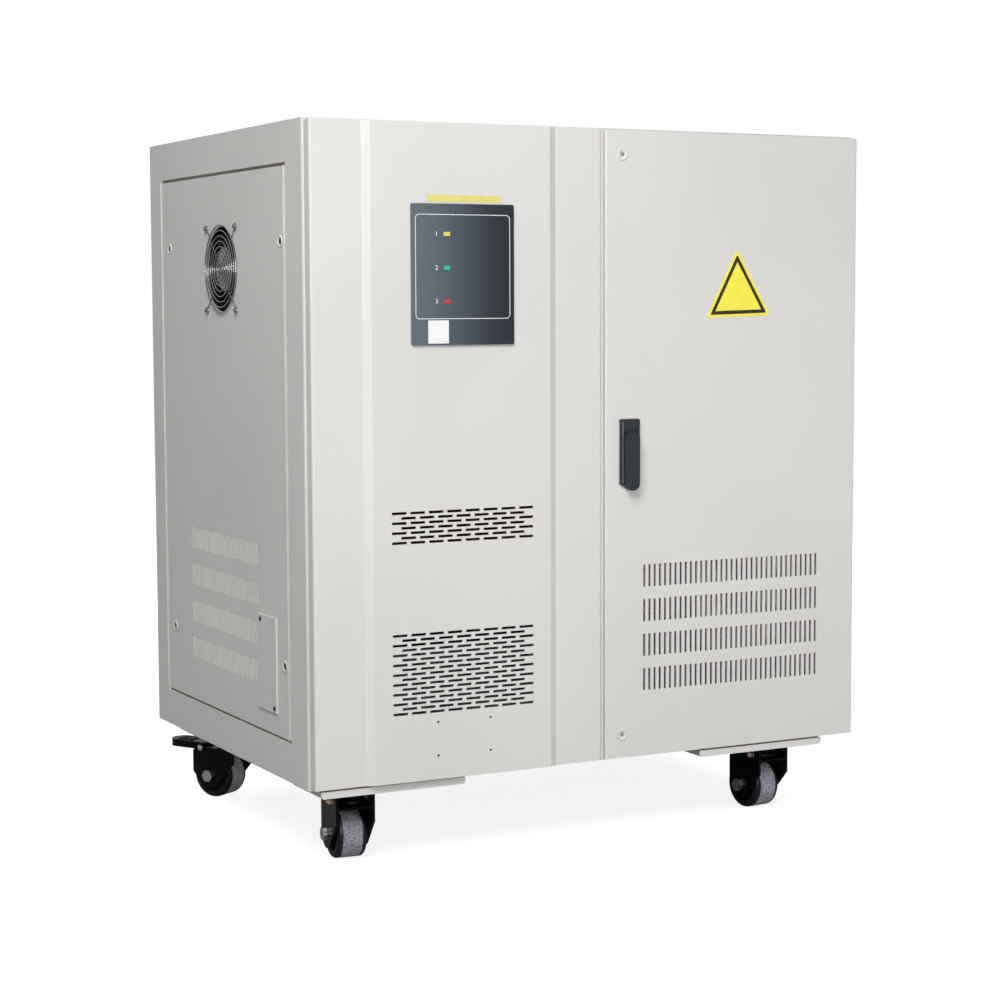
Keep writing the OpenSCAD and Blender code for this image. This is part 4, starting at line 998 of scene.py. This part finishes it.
def make_floor():
    bm = bmesh.new()
    bmesh.ops.create_grid(bm, x_segments=1, y_segments=1, size=FLOOR_SIDE / 2)
    floor = mesh_object("floor", bm)
    material = bpy.data.materials.new("floor_white")
    material.use_nodes = True
    material.node_tree.nodes.clear()
    output = add(material, "ShaderNodeOutputMaterial")
    diffuse = add(material, "ShaderNodeBsdfDiffuse")
    diffuse.inputs["Color"].default_value = (FLOOR_GREY, FLOOR_GREY, FLOOR_GREY, 1)
    glow = add(material, "ShaderNodeEmission")
    reach = add(material, "ShaderNodeVectorMath", operation="LENGTH")
    join(material, place(material), reach.inputs[0])
    level = spread(material, reach.outputs["Value"], GLOW_START, GLOW_FULL, FLOOR_GLOW, 1.0)
    seen = add(material, "ShaderNodeLightPath").outputs["Is Camera Ray"]
    join(material, arithmetic(material, "MULTIPLY", seen, level), glow.inputs["Strength"])
    both = add(material, "ShaderNodeAddShader")
    join(material, diffuse.outputs[0], both.inputs[0])
    join(material, glow.outputs[0], both.inputs[1])
    join(material, both.outputs[0], output.inputs["Surface"])
    floor.data.materials.append(material)
    return floor


make_floor()
print("floor: %.0f m across" % FLOOR_SIDE)

# %% [markdown]
# The key lamp hangs high on the left, so the left side is lit from above and the front from the side.
# A wide low lamp does the work of light thrown up by a pale floor: it lifts the lower front and the pads.
# Gloss comes from a third lamp at eye height that only mirror-like surfaces see, a fourth lights the
# back and the right side, and the world fills the rest.

# %% Light
WORLD_FILL = 0.172
WORLD_SHEEN = 0.48
LAMPS = {
    "key": {"place": (-1.46, -1.82, 2.36), "target": (-0.39, 0.0, 0.51), "size": (1.5, 1.5), "watts": 70.6},
    "floor_light": {"place": (0.54, -1.99, 0.16), "target": (0.0, -0.25, 0.51), "size": (1.0, 0.24), "watts": 10.9},
    "glint": {"place": (-0.84, -2.19, 0.92), "target": (-0.2, 0.0, 0.51), "size": (1.0, 1.0), "watts": 40.0},
    "back_light": {"place": (1.2, 2.3, 2.1), "target": (0.0, 0.0, 0.45), "size": (1.5, 1.5), "watts": 60.0},
}


def make_world():
    world = bpy.data.worlds.new("studio")
    bpy.context.scene.world = world
    world.use_nodes = True
    tree = world.node_tree
    tree.nodes.clear()
    output = tree.nodes.new("ShaderNodeOutputWorld")
    path = tree.nodes.new("ShaderNodeLightPath")
    level = tree.nodes.new("ShaderNodeMath")
    level.operation = "MULTIPLY_ADD"
    level.inputs[1].default_value = WORLD_SHEEN - WORLD_FILL
    level.inputs[2].default_value = WORLD_FILL
    fill = tree.nodes.new("ShaderNodeBackground")
    white = tree.nodes.new("ShaderNodeBackground")
    for background in (fill, white):
        background.inputs["Color"].default_value = (1, 1, 1, 1)
    mix = tree.nodes.new("ShaderNodeMixShader")
    tree.links.new(path.outputs["Is Glossy Ray"], level.inputs[0])
    tree.links.new(level.outputs[0], fill.inputs["Strength"])
    tree.links.new(path.outputs["Is Camera Ray"], mix.inputs[0])
    tree.links.new(fill.outputs[0], mix.inputs[1])
    tree.links.new(white.outputs[0], mix.inputs[2])
    tree.links.new(mix.outputs[0], output.inputs["Surface"])


def make_lamp(name, place, target, size, watts):
    data = bpy.data.lights.new(name, "AREA")
    data.shape = "RECTANGLE"
    data.size, data.size_y = size
    data.energy = watts
    lamp = bpy.data.objects.new(name, data)
    bpy.context.scene.collection.objects.link(lamp)
    lamp.location = place
    lamp.rotation_euler = (Vector(target) - Vector(place)).to_track_quat("-Z", "Y").to_euler()
    lamp.visible_diffuse = name != "glint"
    lamp.visible_glossy = name == "glint"


make_world()
for name, settings in LAMPS.items():
    make_lamp(name, **settings)
bpy.context.scene.view_settings.view_transform = "Standard"
print("light: world %.2f and lamps" % WORLD_FILL, list(LAMPS))
